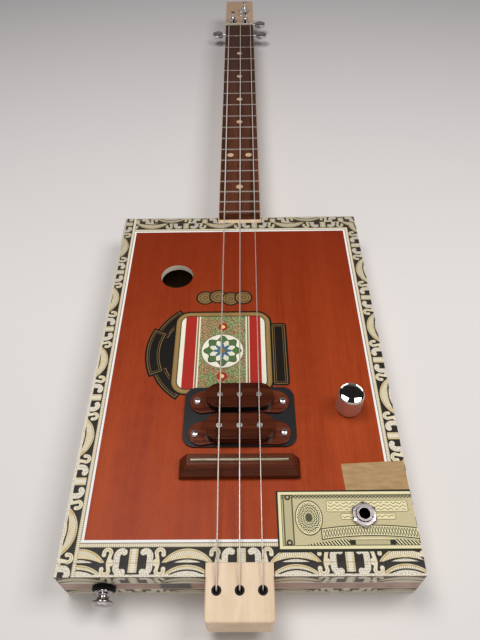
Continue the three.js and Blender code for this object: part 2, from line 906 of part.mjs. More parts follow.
// A curve through a list of points, sampled at those points and not evenly along its length
class PointPath extends THREE.Curve {
  constructor(points) {
    super();
    this.points = points;
  }
  getPoint(t, target = new THREE.Vector3()) {
    const at = t * (this.points.length - 1);
    const i = Math.min(Math.floor(at), this.points.length - 2);
    return target.lerpVectors(this.points[i], this.points[i + 1], at - i);
  }
  getTangent(t, target = new THREE.Vector3()) {
    const i = Math.round(t * (this.points.length - 1));
    const before = this.points[Math.max(i - 1, 0)];
    const after = this.points[Math.min(i + 1, this.points.length - 1)];
    return target.subVectors(after, before).normalize();
  }
  getUtoTmapping(u) {
    return u;
  }
}

// A round tube along a list of points.
function tube(points, radius, sides = 8) {
  const section = polygon(
    Array.from({ length: sides }, (_, i) => {
      const turn = (2 * Math.PI * i) / sides;
      return [radius * Math.cos(turn), radius * Math.sin(turn)];
    }),
  );
  return new THREE.ExtrudeGeometry(section, {
    steps: points.length - 1,
    extrudePath: new PointPath(points),
    bevelEnabled: false,
  });
}

// The least gap that a tube keeps to itself, between points at least some steps apart along it.
function leastGap(points, stepsApart, radius) {
  let least = Infinity;
  points.forEach((point, i) => {
    for (const other of points.slice(i + stepsApart))
      least = Math.min(least, point.distanceTo(other));
  });
  return least - 2 * radius;
}

// Strings: from the ball end up through the ferrule, over saddle and nut, and wound up the post
function makeStrings() {
  const names = ["string_low", "string_middle", "string_high"];
  for (const tuner of tunerPlaces) {
    const index = tuner.string;
    const radius = stringRadii[index];
    const holeX = tailX(index);
    const nutX = nutPlaces[index];
    const share = (saddleY - stringHoleY) / (nutY - stringHoleY);
    const saddleX = holeX + (nutX - holeX) * share;
    const overSaddle = saddleTop + radius + stringContactGap;
    const overNut = nutTop + radius + stringContactGap;
    const ballZ = neckBottom + ballRecessDepth - ballRadius - stringContactGap;
    const points = [new THREE.Vector3(holeX, stringHoleY, ballZ)];
    const bendSteps = 4;
    const bendZ = lidTop + ferruleProud / 2;
    const bendTurn = Math.PI / 2 - Math.atan2(overSaddle - bendZ, saddleY - stringHoleY);
    for (let i = 0; i <= bendSteps; i++) {
      const turn = (i / bendSteps) * bendTurn;
      points.push(
        new THREE.Vector3(
          holeX,
          stringHoleY + stringBendRadius * (1 - Math.cos(turn)),
          bendZ + stringBendRadius * Math.sin(turn),
        ),
      );
    }
    points.push(new THREE.Vector3(saddleX, saddleY, overSaddle));
    points.push(new THREE.Vector3(nutX, nutY, overNut));

    const [postX, postY] = tunerAxis(tuner);
    const windRadius = postWaistRadius + windGap + radius;
    const waistBottom = lidTop + postAboveHead - postCapHeight - postWaistHeight;
    const startZ = waistBottom + windGap + radius;
    const toPost = new THREE.Vector2(postX - nutX, postY - nutY);
    // The string passes on the side of the post nearest to it: outside for the outer strings.
    const passSide = nutX < postX ? -1 : 1;
    if (tuner.name === "right_far") {
      const along = treeFromNut / toPost.y;
      const treeX = nutX + (toPost.x + passSide * windRadius) * along;
      points.push(new THREE.Vector3(treeX, nutY + treeFromNut, lidTop + treeStringHeight));
    }
    const distance = toPost.length();
    const bearing = Math.atan2(toPost.y, toPost.x) + passSide * -Math.asin(windRadius / distance);
    const startTurn = bearing + passSide * -(Math.PI / 2);
    const steps = Math.round(windTurns * windStepsPerTurn);
    const winding = [];
    for (let i = 0; i <= steps; i++) {
      const turn = startTurn + passSide * ((i / windStepsPerTurn) * 2 * Math.PI);
      winding.push(
        new THREE.Vector3(
          postX + windRadius * Math.cos(turn),
          postY + windRadius * Math.sin(turn),
          startZ + (i / windStepsPerTurn) * windPitch,
        ),
      );
    }
    points.push(...winding);
    const gap = leastGap(winding, windStepsPerTurn / 2, radius);
    console.log(`${names[index]}: least gap to itself on the post ${gap.toFixed(2)} mm`);
    const ball = new THREE.SphereGeometry(ballRadius, 10, 8).translate(
      holeX,
      stringHoleY,
      ballZ + runningGap,
    );
    addPiece(names[index], join(tube(points, radius, 6), ball), stringSteel);
  }
}

// Gear: straight teeth, with a gap between two teeth facing +Y
function gearOutline() {
  const pitch = (2 * Math.PI) / gearTeeth;
  const rootShare = 0.32;
  const tipShare = 0.18;
  const points = [];
  for (let i = 0; i < gearTeeth; i++) {
    const middle = Math.PI / 2 + (i + 0.5) * pitch;
    for (const [radius, lean] of [
      [gearRootRadius, -rootShare],
      [gearTipRadius, -tipShare],
      [gearTipRadius, tipShare],
      [gearRootRadius, rootShare],
    ])
      points.push([
        radius * Math.cos(middle + lean * pitch),
        radius * Math.sin(middle + lean * pitch),
      ]);
  }
  return polygon(points);
}

// Worm thread: a ridge that climbs round the X axis, crest towards the gear at the middle
function wormThread() {
  const lead = (2 * Math.PI * gearPitchRadius) / gearTeeth;
  const stepsPerTurn = 10;
  const steps = wormTurns * stepsPerTurn;
  const ridge = (radius, halfWidth) => {
    const ring = [];
    for (let i = 0; i <= steps; i++) {
      const turn = (i / stepsPerTurn) * 2 * Math.PI;
      const x = (i / stepsPerTurn - wormTurns / 2) * lead;
      ring.push([
        [x - halfWidth, radius, turn],
        [x + halfWidth, radius, turn],
      ]);
    }
    return ring;
  };
  const inner = ridge(wormCoreRadius / 2, wormThreadWidth / 2);
  const outer = ridge(wormCrestRadius, wormThreadWidth / 2);
  const corners = [];
  for (let i = 0; i <= steps; i++)
    for (const [x, radius, turn] of [inner[i][0], inner[i][1], outer[i][1], outer[i][0]])
      corners.push(x, radius * Math.cos(turn), radius * Math.sin(turn));
  const faces = [0, 2, 1, 0, 3, 2];
  for (let i = 0; i < steps; i++)
    for (let side = 0; side < 4; side++) {
      const a = 4 * i + side;
      const b = 4 * i + ((side + 1) % 4);
      faces.push(a, b, b + 4, a, b + 4, a + 4);
    }
  const last = 4 * steps;
  faces.push(last, last + 1, last + 2, last, last + 2, last + 3);
  return new THREE.BufferGeometry()
    .setAttribute("position", new THREE.Float32BufferAttribute(corners, 3))
    .setIndex(faces);
}

// One tuner, about its post's axis, with heights from the head's top face
function makeTuner(tuner) {
  const { name, side } = tuner;
  const group = new THREE.Group();
  group.position.set(...tunerAxis(tuner), lidTop);
  guitar.add(group);

  const housingTop = -headThickness - jointGap;
  const housingBottom = housingTop - housingHeight;
  const wormZ = -headThickness - wormBelowHead;
  const wormReach = wormOffset + wormCrestRadius + runningGap + housingWall;
  const alongX = (radius, x0, x1, segments = smallSegments) =>
    new THREE.CylinderGeometry(radius, radius, x1 - x0, segments)
      .rotateZ(Math.PI / 2)
      .translate((x0 + x1) / 2, wormOffset, wormZ);
  const wormHalf = housingHalfWidth - housingWall - runningGap;

  const gearLow = wormZ - gearThickness / 2;
  const gearHigh = wormZ + gearThickness / 2;
  const housingDepth = wormReach + gearTipRadius + runningGap + housingWall;
  const housingMiddle = wormReach - housingDepth / 2;
  const flangeBottom = jointGap;
  const flangeTop = flangeBottom + bushingFlangeThickness;
  const domeTop = flangeTop + bushingDomeHeight;
  const domeRadius = postRadius + 2 * runningGap;
  const bushing = turned(
    [
      [0, housingTop - overrun],
      [bushingRadius, housingTop - overrun],
      [bushingRadius, flangeBottom],
      [bushingFlangeRadius, flangeBottom],
      [bushingFlangeRadius, flangeTop - bushingFlangeThickness / 3],
      [bushingRadius, flangeTop],
      [domeRadius, domeTop],
      [0, domeTop],
    ],
    20,
  );
  const housing = cut(
    join(
      slab(
        roundedRectangle(2 * housingHalfWidth, housingDepth, housingCornerRadius),
        housingBottom,
        housingTop,
        3,
      ).translate(0, housingMiddle, 0),
      bushing,
    ),
    rod(postRadius + runningGap, housingBottom + housingWall, domeTop + overrun),
    rod(gearTipRadius + runningGap, gearLow - runningGap, gearHigh + runningGap, 20),
    alongX(wormCrestRadius + runningGap, -wormHalf - runningGap, wormHalf + runningGap),
    side > 0
      ? alongX(stemRadius + runningGap, 0, housingHalfWidth + overrun)
      : alongX(stemRadius + runningGap, -housingHalfWidth - overrun, 0),
  );
  addPiece(`tuner_${name}_housing`, housing, chrome, [0, 0, 0], group);

  const capBottom = postAboveHead - postCapHeight;
  const waistBottom = capBottom - postWaistHeight;
  const lean = postRadius - postWaistRadius;
  const post = cut(
    join(
      turned(
        [
          [0, housingBottom + housingWall + runningGap],
          [postRadius, housingBottom + housingWall + runningGap],
          [postRadius, waistBottom - lean],
          [postWaistRadius, waistBottom],
          [postWaistRadius, capBottom],
          [postRadius, capBottom + lean / 4],
          [postRadius, postAboveHead - postCapHeight / 3],
          [postWaistRadius, postAboveHead],
          [0, postAboveHead],
        ],
        smallSegments,
      ),
      slab(gearOutline(), gearLow, gearHigh),
    ),
    new THREE.CylinderGeometry(stringHoleRadius, stringHoleRadius, 3 * postRadius, 8).translate(
      0,
      0,
      waistBottom + postWaistHeight / 2,
    ),
  );
  addPiece(`tuner_${name}_post`, post, chrome, [0, 0, 0], group);

  const buttonStart = side * buttonFromPost;
  const buttonMiddle = side * (buttonFromPost + buttonLength / 2);
  const outline = new THREE.Shape();
  outline.absellipse(
    0,
    0,
    buttonLength / 2 - buttonBevel,
    buttonBreadth / 2 - buttonBevel,
    0,
    2 * Math.PI,
  );
  const button = new THREE.ExtrudeGeometry(outline, {
    depth: buttonThickness - 2 * buttonBevel,
    bevelThickness: buttonBevel,
    bevelSize: buttonBevel,
    bevelSegments: 2,
    curveSegments: 10,
  }).translate(buttonMiddle, wormOffset, wormZ - buttonThickness / 2 + buttonBevel);
  const ordered = (a, b) => [Math.min(a, b), Math.max(a, b)];
  const collarStart = side * (housingHalfWidth + runningGap);
  const turning = join(
    alongX(wormCoreRadius, ...ordered(-side * wormHalf, side * housingHalfWidth), 10),
    wormThread().translate(0, wormOffset, wormZ),
    alongX(stemRadius, ...ordered(side * wormHalf, buttonStart + side * 2 * buttonBevel)),
    alongX(stemCollarRadius, ...ordered(collarStart, collarStart + side * stemCollarLength)),
    button,
  );
  addPiece(`tuner_${name}_button`, turning, chrome, [0, 0, 0], group);
}

// Wiring: one screened lead from the pickup's hole, past the pot's lugs, to the jack
function makeWiring() {
  const underPickup = lidTop + plateThickness;
  const potSide = controlsX - potRadius - 2 * wireRadius;
  const jackSide = controlsX - jackFlangeRadius - wireRadius - runningGap;
  const belowPot = lidUnderside - potHeight / 2;
  const midway = (knobY + jackY) / 2;
  const stops = [
    [leadHoleX, leadHoleY, underPickup],
    [leadHoleX, leadHoleY, lidUnderside],
    [leadHoleX + 2 * leadHoleRadius, leadHoleY, lidUnderside - 3 * wireRadius],
    [(leadHoleX + potSide) / 2, (leadHoleY + knobY) / 2, belowPot - potHeight / 2],
    [potSide, knobY, belowPot],
    [potSide, (knobY + midway) / 2, belowPot - wireRadius],
    [(potSide + jackSide) / 2, midway, belowPot - potHeight / 2],
    [jackSide, jackY, lidUnderside - jackFlangeThickness],
  ].map((stop) => new THREE.Vector3(...stop));
  const route = new THREE.CatmullRomCurve3(stops, false, "centripetal");
  addPiece("pickup_lead", tube(route.getSpacedPoints(36), wireRadius), blackPlastic);
}

makeBox();
makeNeck();
makeFerrules();
makeFretboard();
makeBridge();
makePickup();
makeVolumeControl();
makeJack();
makeStrapButton();
makeStrings();
tunerPlaces.forEach(makeTuner);
makeWiring();

export default guitar;
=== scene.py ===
# %% [markdown]
# # A cigar box guitar
# The guitar is a flat wooden cigar box with a stick neck through it. Its construction is already there:
# every wooden board, screw and string sits at its real place and size. This lesson dresses it: each board
# gets its grain, the printed paper gets its scrolls, and the small turned pieces get their fine shapes.
# Lengths are in metres. +X runs across the strings, +Y along the neck to the head, and +Z up out of the lid.

# %% The packed model
import math
import random

import bmesh
import bpy
from mathutils import Matrix, Vector


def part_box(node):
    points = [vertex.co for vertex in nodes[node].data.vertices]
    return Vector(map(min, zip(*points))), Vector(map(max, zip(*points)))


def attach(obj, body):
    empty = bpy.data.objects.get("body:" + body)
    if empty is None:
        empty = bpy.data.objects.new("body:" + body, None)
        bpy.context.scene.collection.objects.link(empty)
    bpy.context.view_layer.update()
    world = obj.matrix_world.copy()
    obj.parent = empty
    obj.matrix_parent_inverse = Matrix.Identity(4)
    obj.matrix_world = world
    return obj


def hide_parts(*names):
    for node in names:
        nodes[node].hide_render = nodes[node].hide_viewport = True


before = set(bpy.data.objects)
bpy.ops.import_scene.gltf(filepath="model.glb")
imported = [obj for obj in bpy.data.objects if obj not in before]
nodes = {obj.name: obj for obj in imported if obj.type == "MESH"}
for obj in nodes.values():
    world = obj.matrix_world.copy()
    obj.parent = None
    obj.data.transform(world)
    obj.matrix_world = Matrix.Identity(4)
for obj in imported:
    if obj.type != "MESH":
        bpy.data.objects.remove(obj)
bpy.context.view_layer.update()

MM = 0.001
lid_low, lid_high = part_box("lid_panel")
lid_top = lid_high.z
box_low, box_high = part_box("bottom_panel")
print("the box is", [round((box_high[i] - box_low[i]) / MM, 1) for i in range(2)], "mm")

# %% [markdown]
# ## Camera
# The guitar was looked at from above its tail, so the lens is near the tail block and the neck runs away
# from it. A camera in Blender looks down its own -Z axis. Three turns place it: a roll about that axis, a
# tilt up from looking straight down, and a small turn about the vertical.

# %% Camera
CAMERA_PLACE = Vector((4.8, -246.1, 360.8)) * MM
CAMERA_TILT = math.radians(40.371)
CAMERA_TURN = math.radians(0.929)
CAMERA_ROLL = math.radians(-1.262)
LENS = 31.608

camera_data = bpy.data.cameras.new("camera")
camera_data.lens = LENS
camera_data.clip_start = 0.01
camera = bpy.data.objects.new("camera", camera_data)
camera.matrix_world = (
    Matrix.Translation(CAMERA_PLACE)
    @ Matrix.Rotation(CAMERA_TURN, 4, "Z")
    @ Matrix.Rotation(CAMERA_TILT, 4, "X")
    @ Matrix.Rotation(CAMERA_ROLL, 4, "Z")
)
bpy.context.scene.collection.objects.link(camera)
bpy.context.scene.camera = camera
bpy.context.scene.view_settings.view_transform = "Standard"
print("camera", [round(v, 3) for v in CAMERA_PLACE])

# %% [markdown]
# ## Colours and a node board
# Colours are easier to judge as the 0 to 255 values of a screen, but a shader wants light, so one helper
# converts them. The finishes are all node trees, and long chains of math nodes are hard to read as calls. So
# a node's output is wrapped as a Value that knows Python's own signs: a minus adds a Subtract node, and a
# comparison gives a mask that is 1 where it holds. Patterns are measured in millimetres on the guitar
# itself, from Object coordinates, so grain and print have their real scale.

# %% Colours and a node board
def screen(red, green, blue):
    """A screen colour from 0 to 255 as linear light, with an alpha of 1."""
    def linear(value):
        share = value / 255
        return share / 12.92 if share <= 0.04045 else ((share + 0.055) / 1.055) ** 2.4
    return (linear(red), linear(green), linear(blue), 1.0)


def math_step(kind, swapped=False):
    """A method of Value that adds one Math node."""
    def step(self, other=0.0):
        pair = (other, self) if swapped else (self, other)
        return self.finish.math(kind, *pair)
    return step


SOFT_EDGE = 0.12  # half the width of a printed edge's blur, in millimetres


class Value:
    """A node's output: a number, a colour or a vector that changes from point to point."""

    __add__ = __radd__ = math_step("ADD")
    __sub__ = math_step("SUBTRACT")
    __rsub__ = math_step("SUBTRACT", swapped=True)
    __mul__ = math_step("MULTIPLY")
    __abs__ = math_step("ABSOLUTE")
    __lt__ = math_step("LESS_THAN")
    __gt__ = math_step("GREATER_THAN")
    __and__ = math_step("MULTIPLY")
    __or__ = most = math_step("MAXIMUM")
    least = math_step("MINIMUM")
    fold = math_step("PINGPONG")
    sine = math_step("SINE")
    cosine = math_step("COSINE")
    root = math_step("SQRT")
    power = math_step("POWER")
    bearing = math_step("ARCTAN2")

    def __init__(self, finish, socket):
        self.finish = finish
        self.socket = socket

    def __invert__(self):
        return 1.0 - self

    def between(self, low, high, to_low=0.0, to_high=1.0):
        """Maps a range to another range, and stops at its ends."""
        ends = {"Value": self, "From Min": low, "From Max": high, "To Min": to_low, "To Max": to_high}
        return self.finish.add("ShaderNodeMapRange", "Result", ends)

    def inside(self, edge, soft=SOFT_EDGE):
        """1 below an edge and 0 above it, with a soft step between."""
        return self.between(edge - soft, edge + soft, 1.0, 0.0)

    def near(self, middle, half, soft=SOFT_EDGE):
        """1 within a half width of a middle value."""
        return abs(self - middle).inside(half, soft)

    def lines(self, pitch, share=0.5):
        """1 on thin lines, one in each pitch."""
        return self.fold(pitch / 2) < pitch / 2 * share


class Finish:
    """A material's node tree, with a short method for each kind of node that the finishes use."""

    def __init__(self, name):
        self.material = bpy.data.materials.new(name)
        self.material.use_nodes = True
        self.tree = self.material.node_tree
        self.shader = self.tree.nodes["Principled BSDF"]
        place = self.add("ShaderNodeTexCoord", "Object", {})
        self.point = self.add("ShaderNodeVectorMath", 0, {0: place, "Scale": 1 / MM}, operation="SCALE")
        self.x, self.y, self.z = self.parts(self.point)

    def put(self, socket, value):
        if isinstance(value, Value):
            self.tree.links.new(value.socket, socket)
        else:
            socket.default_value = value

    def add(self, kind, output, inputs, **settings):
        """Adds a node, fills or links its inputs, and gives back one output."""
        node = self.tree.nodes.new(kind)
        for name, value in settings.items():
            setattr(node, name, value)
        for key, value in inputs.items():
            self.put(node.inputs[key], value)
        return Value(self, node.outputs[output])

    def parts(self, vector):
        node = self.tree.nodes.new("ShaderNodeSeparateXYZ")
        self.put(node.inputs[0], vector)
        return [Value(self, socket) for socket in node.outputs]

    def math(self, kind, first, second):
        return self.add("ShaderNodeMath", 0, {0: first, 1: second}, operation=kind)

    def noise(self, scale, detail=3.0, rough=0.5, distortion=0.0, stretch=(1, 1, 1), shift=(0, 0, 0)):
        place = self.add("ShaderNodeMapping", 0, {"Vector": self.point, "Scale": stretch, "Location": shift})
        return self.add("ShaderNodeTexNoise", "Fac", {"Vector": place, "Scale": scale, "Detail": detail,
                                                      "Roughness": rough, "Distortion": distortion})

    def mix(self, share, first, second):
        """One of two colours, or a blend: the first where share is 0, the second where it is 1."""
        colors = {"Factor": share, 6: first, 7: second}
        return self.add("ShaderNodeMix", 2, colors, data_type="RGBA")

    def pick(self, share, first, second):
        """The same for two numbers."""
        return self.add("ShaderNodeMix", 0, {"Factor": share, 2: first, 3: second})

    def pair(self, first, second):
        return self.add("ShaderNodeCombineXYZ", 0, {"X": first, "Y": second})

    def length(self, first, second):
        return self.add("ShaderNodeVectorMath", "Value", {0: self.pair(first, second)}, operation="LENGTH")

    def apart(self, first, second, place):
        """How far a point of two numbers is from a place."""
        return self.length(first - place[0], second - place[1])

    def color(self, value):
        self.tone = value
        self.put(self.shader.inputs["Base Color"], value)

    def paint(self, mask, color):
        """Paints a colour over the finish's own, where a mask is 1."""
        self.color(self.mix(mask, self.tone, color))

    def roughness(self, value):
        self.put(self.shader.inputs["Roughness"], value)

    def bump(self, height, distance, strength=1.0):
        inputs = {"Height": height, "Distance": distance * MM, "Strength": strength}
        self.put(self.shader.inputs["Normal"], self.add("ShaderNodeBump", 0, inputs))

    def set(self, **values):
        for name, value in values.items():
            self.shader.inputs[name.replace("_", " ")].default_value = value


class Picture:
    """Colours laid over each other, each where its mask is 1."""

    def __init__(self, finish, ground):
        self.finish = finish
        self.color = ground

    def lay(self, mask, color):
        self.color = self.finish.mix(mask, self.color, color)


print("a node board with", len([name for name in vars(Finish) if not name.startswith("_")]), "short methods")

# %% [markdown]
# ## Floor and light
# A pale floor fills the picture, with painted shade that makes it a little darker far away, where the light
# of the soft boxes falls off. Two soft boxes hang over the guitar, left and right, and a bright world behind
# the tail fills the shade. The world above and beyond the head is dark: the varnished lid mirrors that part,
# so its red keeps its depth, and chrome has something dark to reflect. A grey glow at the horizon keeps the
# sides of the chrome pieces from going black.

# %% Floor and light
LIT_NEAR_FLOOR = screen(226, 221, 218)
SHADED_FAR_FLOOR = screen(194, 190, 191)
FLOOR_HALF = 6.0
BRIGHT_SKY = Vector((0.0, -0.94, 0.34))
SKY_START = (0.38, (0.035, 0.03, 0.03, 1))
SKY_END = (0.85, (1, 1, 1, 1))
GLOW_START = (0.2, (0.5, 0.49, 0.49, 1))
GLOW_END = (0.56, (0, 0, 0, 1))
SKY_STRENGTH = 0.63
SOFT_BOX = 0.5
SOFT_BOX_AIM = Vector((0, -0.02, 0))

mesh = bpy.data.meshes.new("floor")
bm = bmesh.new()
bmesh.ops.create_grid(bm, x_segments=1, y_segments=1, size=FLOOR_HALF)
bm.to_mesh(mesh)
bm.free()
floor = bpy.data.objects.new("floor", mesh)
bpy.context.scene.collection.objects.link(floor)
floor_finish = Finish("floor_paper")
# painted shade: the floor is painted darker far away, where the light of the soft boxes falls off
floor_finish.color(floor_finish.mix(floor_finish.y.between(60, 800), LIT_NEAR_FLOOR, SHADED_FAR_FLOOR))
floor_finish.roughness(0.9)
floor_finish.set(Specular_IOR_Level=0.1)
mesh.materials.append(floor_finish.material)

world = bpy.data.worlds.new("studio")
bpy.context.scene.world = world
world.use_nodes = True
sky_nodes = world.node_tree.nodes
sky_links = world.node_tree.links


def sky_ramp(*stops):
    """A colour ramp of two stops, each a position and a colour."""
    ramp = sky_nodes.new("ShaderNodeValToRGB")
    for element, (position, tone) in zip(ramp.color_ramp.elements, stops):
        element.position = position
        element.color = tone
    return ramp


facing = sky_nodes.new("ShaderNodeVectorMath")
facing.operation = "DOT_PRODUCT"
facing.inputs[1].default_value = BRIGHT_SKY
height = sky_nodes.new("ShaderNodeSeparateXYZ")
sky = sky_ramp(SKY_START, SKY_END)
glow = sky_ramp(GLOW_START, GLOW_END)
brighter = sky_nodes.new("ShaderNodeMix")
brighter.data_type = "RGBA"
brighter.blend_type = "LIGHTEN"
brighter.inputs["Factor"].default_value = 1.0
direction = sky_nodes.new("ShaderNodeTexCoord").outputs["Generated"]
background = sky_nodes["Background"]
background.inputs["Strength"].default_value = SKY_STRENGTH
for output, socket in (
    (direction, facing.inputs[0]), (direction, height.inputs[0]), (facing.outputs["Value"], sky.inputs[0]),
    (height.outputs["Z"], glow.inputs[0]), (sky.outputs[0], brighter.inputs[6]),
    (glow.outputs[0], brighter.inputs[7]), (brighter.outputs[2], background.inputs["Color"]),
):
    sky_links.new(output, socket)


def lamp(name, place, power):
    """A square soft box that looks at the guitar."""
    data = bpy.data.lights.new(name, "AREA")
    data.shape = "SQUARE"
    data.size = SOFT_BOX
    data.energy = power
    light = bpy.data.objects.new(name, data)
    light.location = place
    light.rotation_euler = (SOFT_BOX_AIM - Vector(place)).to_track_quat("-Z", "Y").to_euler()
    bpy.context.scene.collection.objects.link(light)


lamp("soft_box_left", (-0.26, 0.14, 1.12), 7.1)
lamp("soft_box_right", (0.62, 0.0, 1.04), 5.8)
print("floor, world and two soft boxes")

# %% [markdown]
# ## Wood
# Every wooden piece has long grain, so its noise is stretched along the grain: the coordinate along it is
# scaled down and the ones across it are kept. Three layers make it read as wood: broad bands of colour, fine
# streaks, and short dark pores that also dent the surface. The neck is painted darker towards the head, as
# painted shade where the light falls off; the board is painted darker and greyer there, as painted shade and
# a painted sheen of wood seen at a flat angle.

# %% Wood
GRAIN_STRETCH = 0.035
PORE_STRETCH = 0.1
FLAME_STRETCH = 0.5
MAPLE_TONES = (screen(212, 180, 146), screen(236, 211, 180), screen(190, 152, 114))
BOARD_TONES = (screen(55, 28, 18), screen(116, 64, 41), screen(27, 14, 10))
COVER_TONES = (screen(34, 12, 6), screen(92, 44, 27), screen(20, 7, 5))
BASE_TONES = (screen(58, 20, 12), screen(124, 62, 40), screen(34, 12, 8))
BRIDGE_TONES = (screen(27, 9, 4), screen(102, 49, 27), screen(14, 5, 3))


def wood(name, dark, light, pore, along=1, streak=1.2, pores=0.5, gloss=0.45, shift=(0, 0, 0), bands=0.16,
         pore_size=3.2, flame=0.0, relief=0.35, spread=0.16, gleam=0.5):
    """A wood finish. along is the axis of the grain: 0 for X, 1 for Y."""
    finish = Finish(name)

    def grain(stretch, *noise):
        factors = [stretch if axis == along else 1.0 for axis in range(3)]
        return finish.noise(*noise, stretch=factors, shift=shift)

    streaks = grain(GRAIN_STRETCH, streak, 5, 0.65)
    broad = grain(GRAIN_STRETCH, bands, 4, 0.6, 0.6)
    tone = broad * 0.6 + streaks * 0.4 + grain(GRAIN_STRETCH, bands / 2, 2) * 0.3
    if flame:
        tone = tone + (grain(FLAME_STRETCH, 0.09, 2, 0.5, 1.0) - 0.5) * flame
    holes = grain(PORE_STRETCH, pore_size, 2).between(0.6, 0.74)
    finish.color(finish.mix(tone.between(0.42, 0.88), dark, light))
    finish.paint(holes * pores, pore)
    finish.roughness(streaks.between(0.3, 0.7, gloss - spread / 2, gloss + spread / 2))
    finish.bump(streaks * 0.35 - holes, 0.05, relief)
    finish.set(Specular_IOR_Level=gleam)
    return finish


maple = wood("maple", *MAPLE_TONES, pores=0.2, gloss=0.42, bands=0.1, pore_size=2.4, flame=0.5, gleam=0.3)
# painted shade: the neck darkens towards the head, where the light falls off
maple.paint(maple.y.between(250, 620, 0.0, 0.75), screen(160, 128, 100))
rosewood = wood("rosewood_board", *BOARD_TONES, streak=0.85, pores=0.85, gloss=0.5, bands=0.1, pore_size=1.6,
                gleam=0.13)
dark_heart = rosewood.noise(0.2, 3, stretch=(1, 0.015, 1), shift=(40, 0, 0))
rosewood.paint(dark_heart.between(0.5, 0.62, 0.0, 0.6), screen(40, 20, 14))
# painted shade and a painted sheen: the board is darker and greyer towards the head
rosewood.paint(rosewood.y.between(180, 440, 0.0, 0.7), screen(50, 37, 34))
cover_wood = wood("rosewood_cover", *COVER_TONES, along=0, streak=0.9, pores=0.8, gloss=0.12,
                  shift=(0, 40, 0), bands=0.2, relief=0.05, spread=0.04, gleam=0.2)
base_wood = wood("rosewood_base", *BASE_TONES, along=0, streak=0.9, pores=0.7, gloss=0.14,
                 shift=(0, 70, 0), bands=0.2, relief=0.05, spread=0.04, gleam=0.22)
bridge_wood = wood("rosewood_bridge", *BRIDGE_TONES, along=0, streak=0.8, pores=0.8, gloss=0.24,
                   shift=(20, 90, 0), bands=0.12, relief=0.2, spread=0.08, gleam=0.12)
print("five woods")

# %% [markdown]
# ## The printed border
# The lid and the walls are covered in printed paper. Round the middle panel run a white stripe, a thin dark
# line and a row of cream beads, and outside them black paper carries a band of scrolls that repeats every 61
# mm: a gold bar, a pearled arch on each side of it, a small curl, and a long gold leaf over a pearled fan. A
# picture file would blur when seen close up, so the band is drawn from circles instead: a leaf is the part
# inside one circle and outside another, a curl is a ring. A ping-pong of the place along the edge folds both
# halves of the motif onto one.

# %% The printed border
PAPER_WHITE = screen(238, 236, 234)
PAPER_CREAM = screen(226, 216, 190)
PAPER_PEARL = screen(236, 228, 211)
PEARL_SHADE = screen(178, 164, 140)
HATCH_SHADE = screen(180, 162, 124)
PAPER_GOLD = screen(214, 190, 136)
PALE_GOLD = screen(224, 214, 178)
PAPER_OLD_GOLD = screen(138, 112, 72)
PAPER_BLACK = screen(45, 41, 38)
PAINTED_HEAD_SHADE = screen(74, 62, 50)
HEAD_SHADE_SHARE = 0.38  # how much painted shade darkens the paper at the head end
SCROLL_PERIOD = 60.8
LEAF = SCROLL_PERIOD / 2
PEARLS_PER_MM = 1.15
INNER_BAND = {
    "bar": (0.8, 20), "arch": (6.4, 5.2), "tip": (5.4, 2.7), "curl": (14.9, 3.3), "stem": (13.0, 3.4),
    "bead": (12.5, 7.9), "leaf": ((LEAF, 18.2), 17.3), "hollow": ((LEAF, 39.2), 33.0),
    "fan": ((LEAF, 27.0), 20.0), "up": 1,
}
OUTER_BAND = {
    "bar": (-9, 5.3), "arch": (6.4, 2.4), "tip": (5.6, 5.0), "curl": (15.2, 4.2), "stem": (13.3, 4.1),
    "bead": (12.4, 0.6), "leaf": ((LEAF, 20.6), 19.4), "hollow": ((LEAF, 25.4), 21.8),
    "fan": ((LEAF, 24.5), 20.0), "up": -1,
}
FRINGE = 6.3  # past this distance the outer band is all pearls


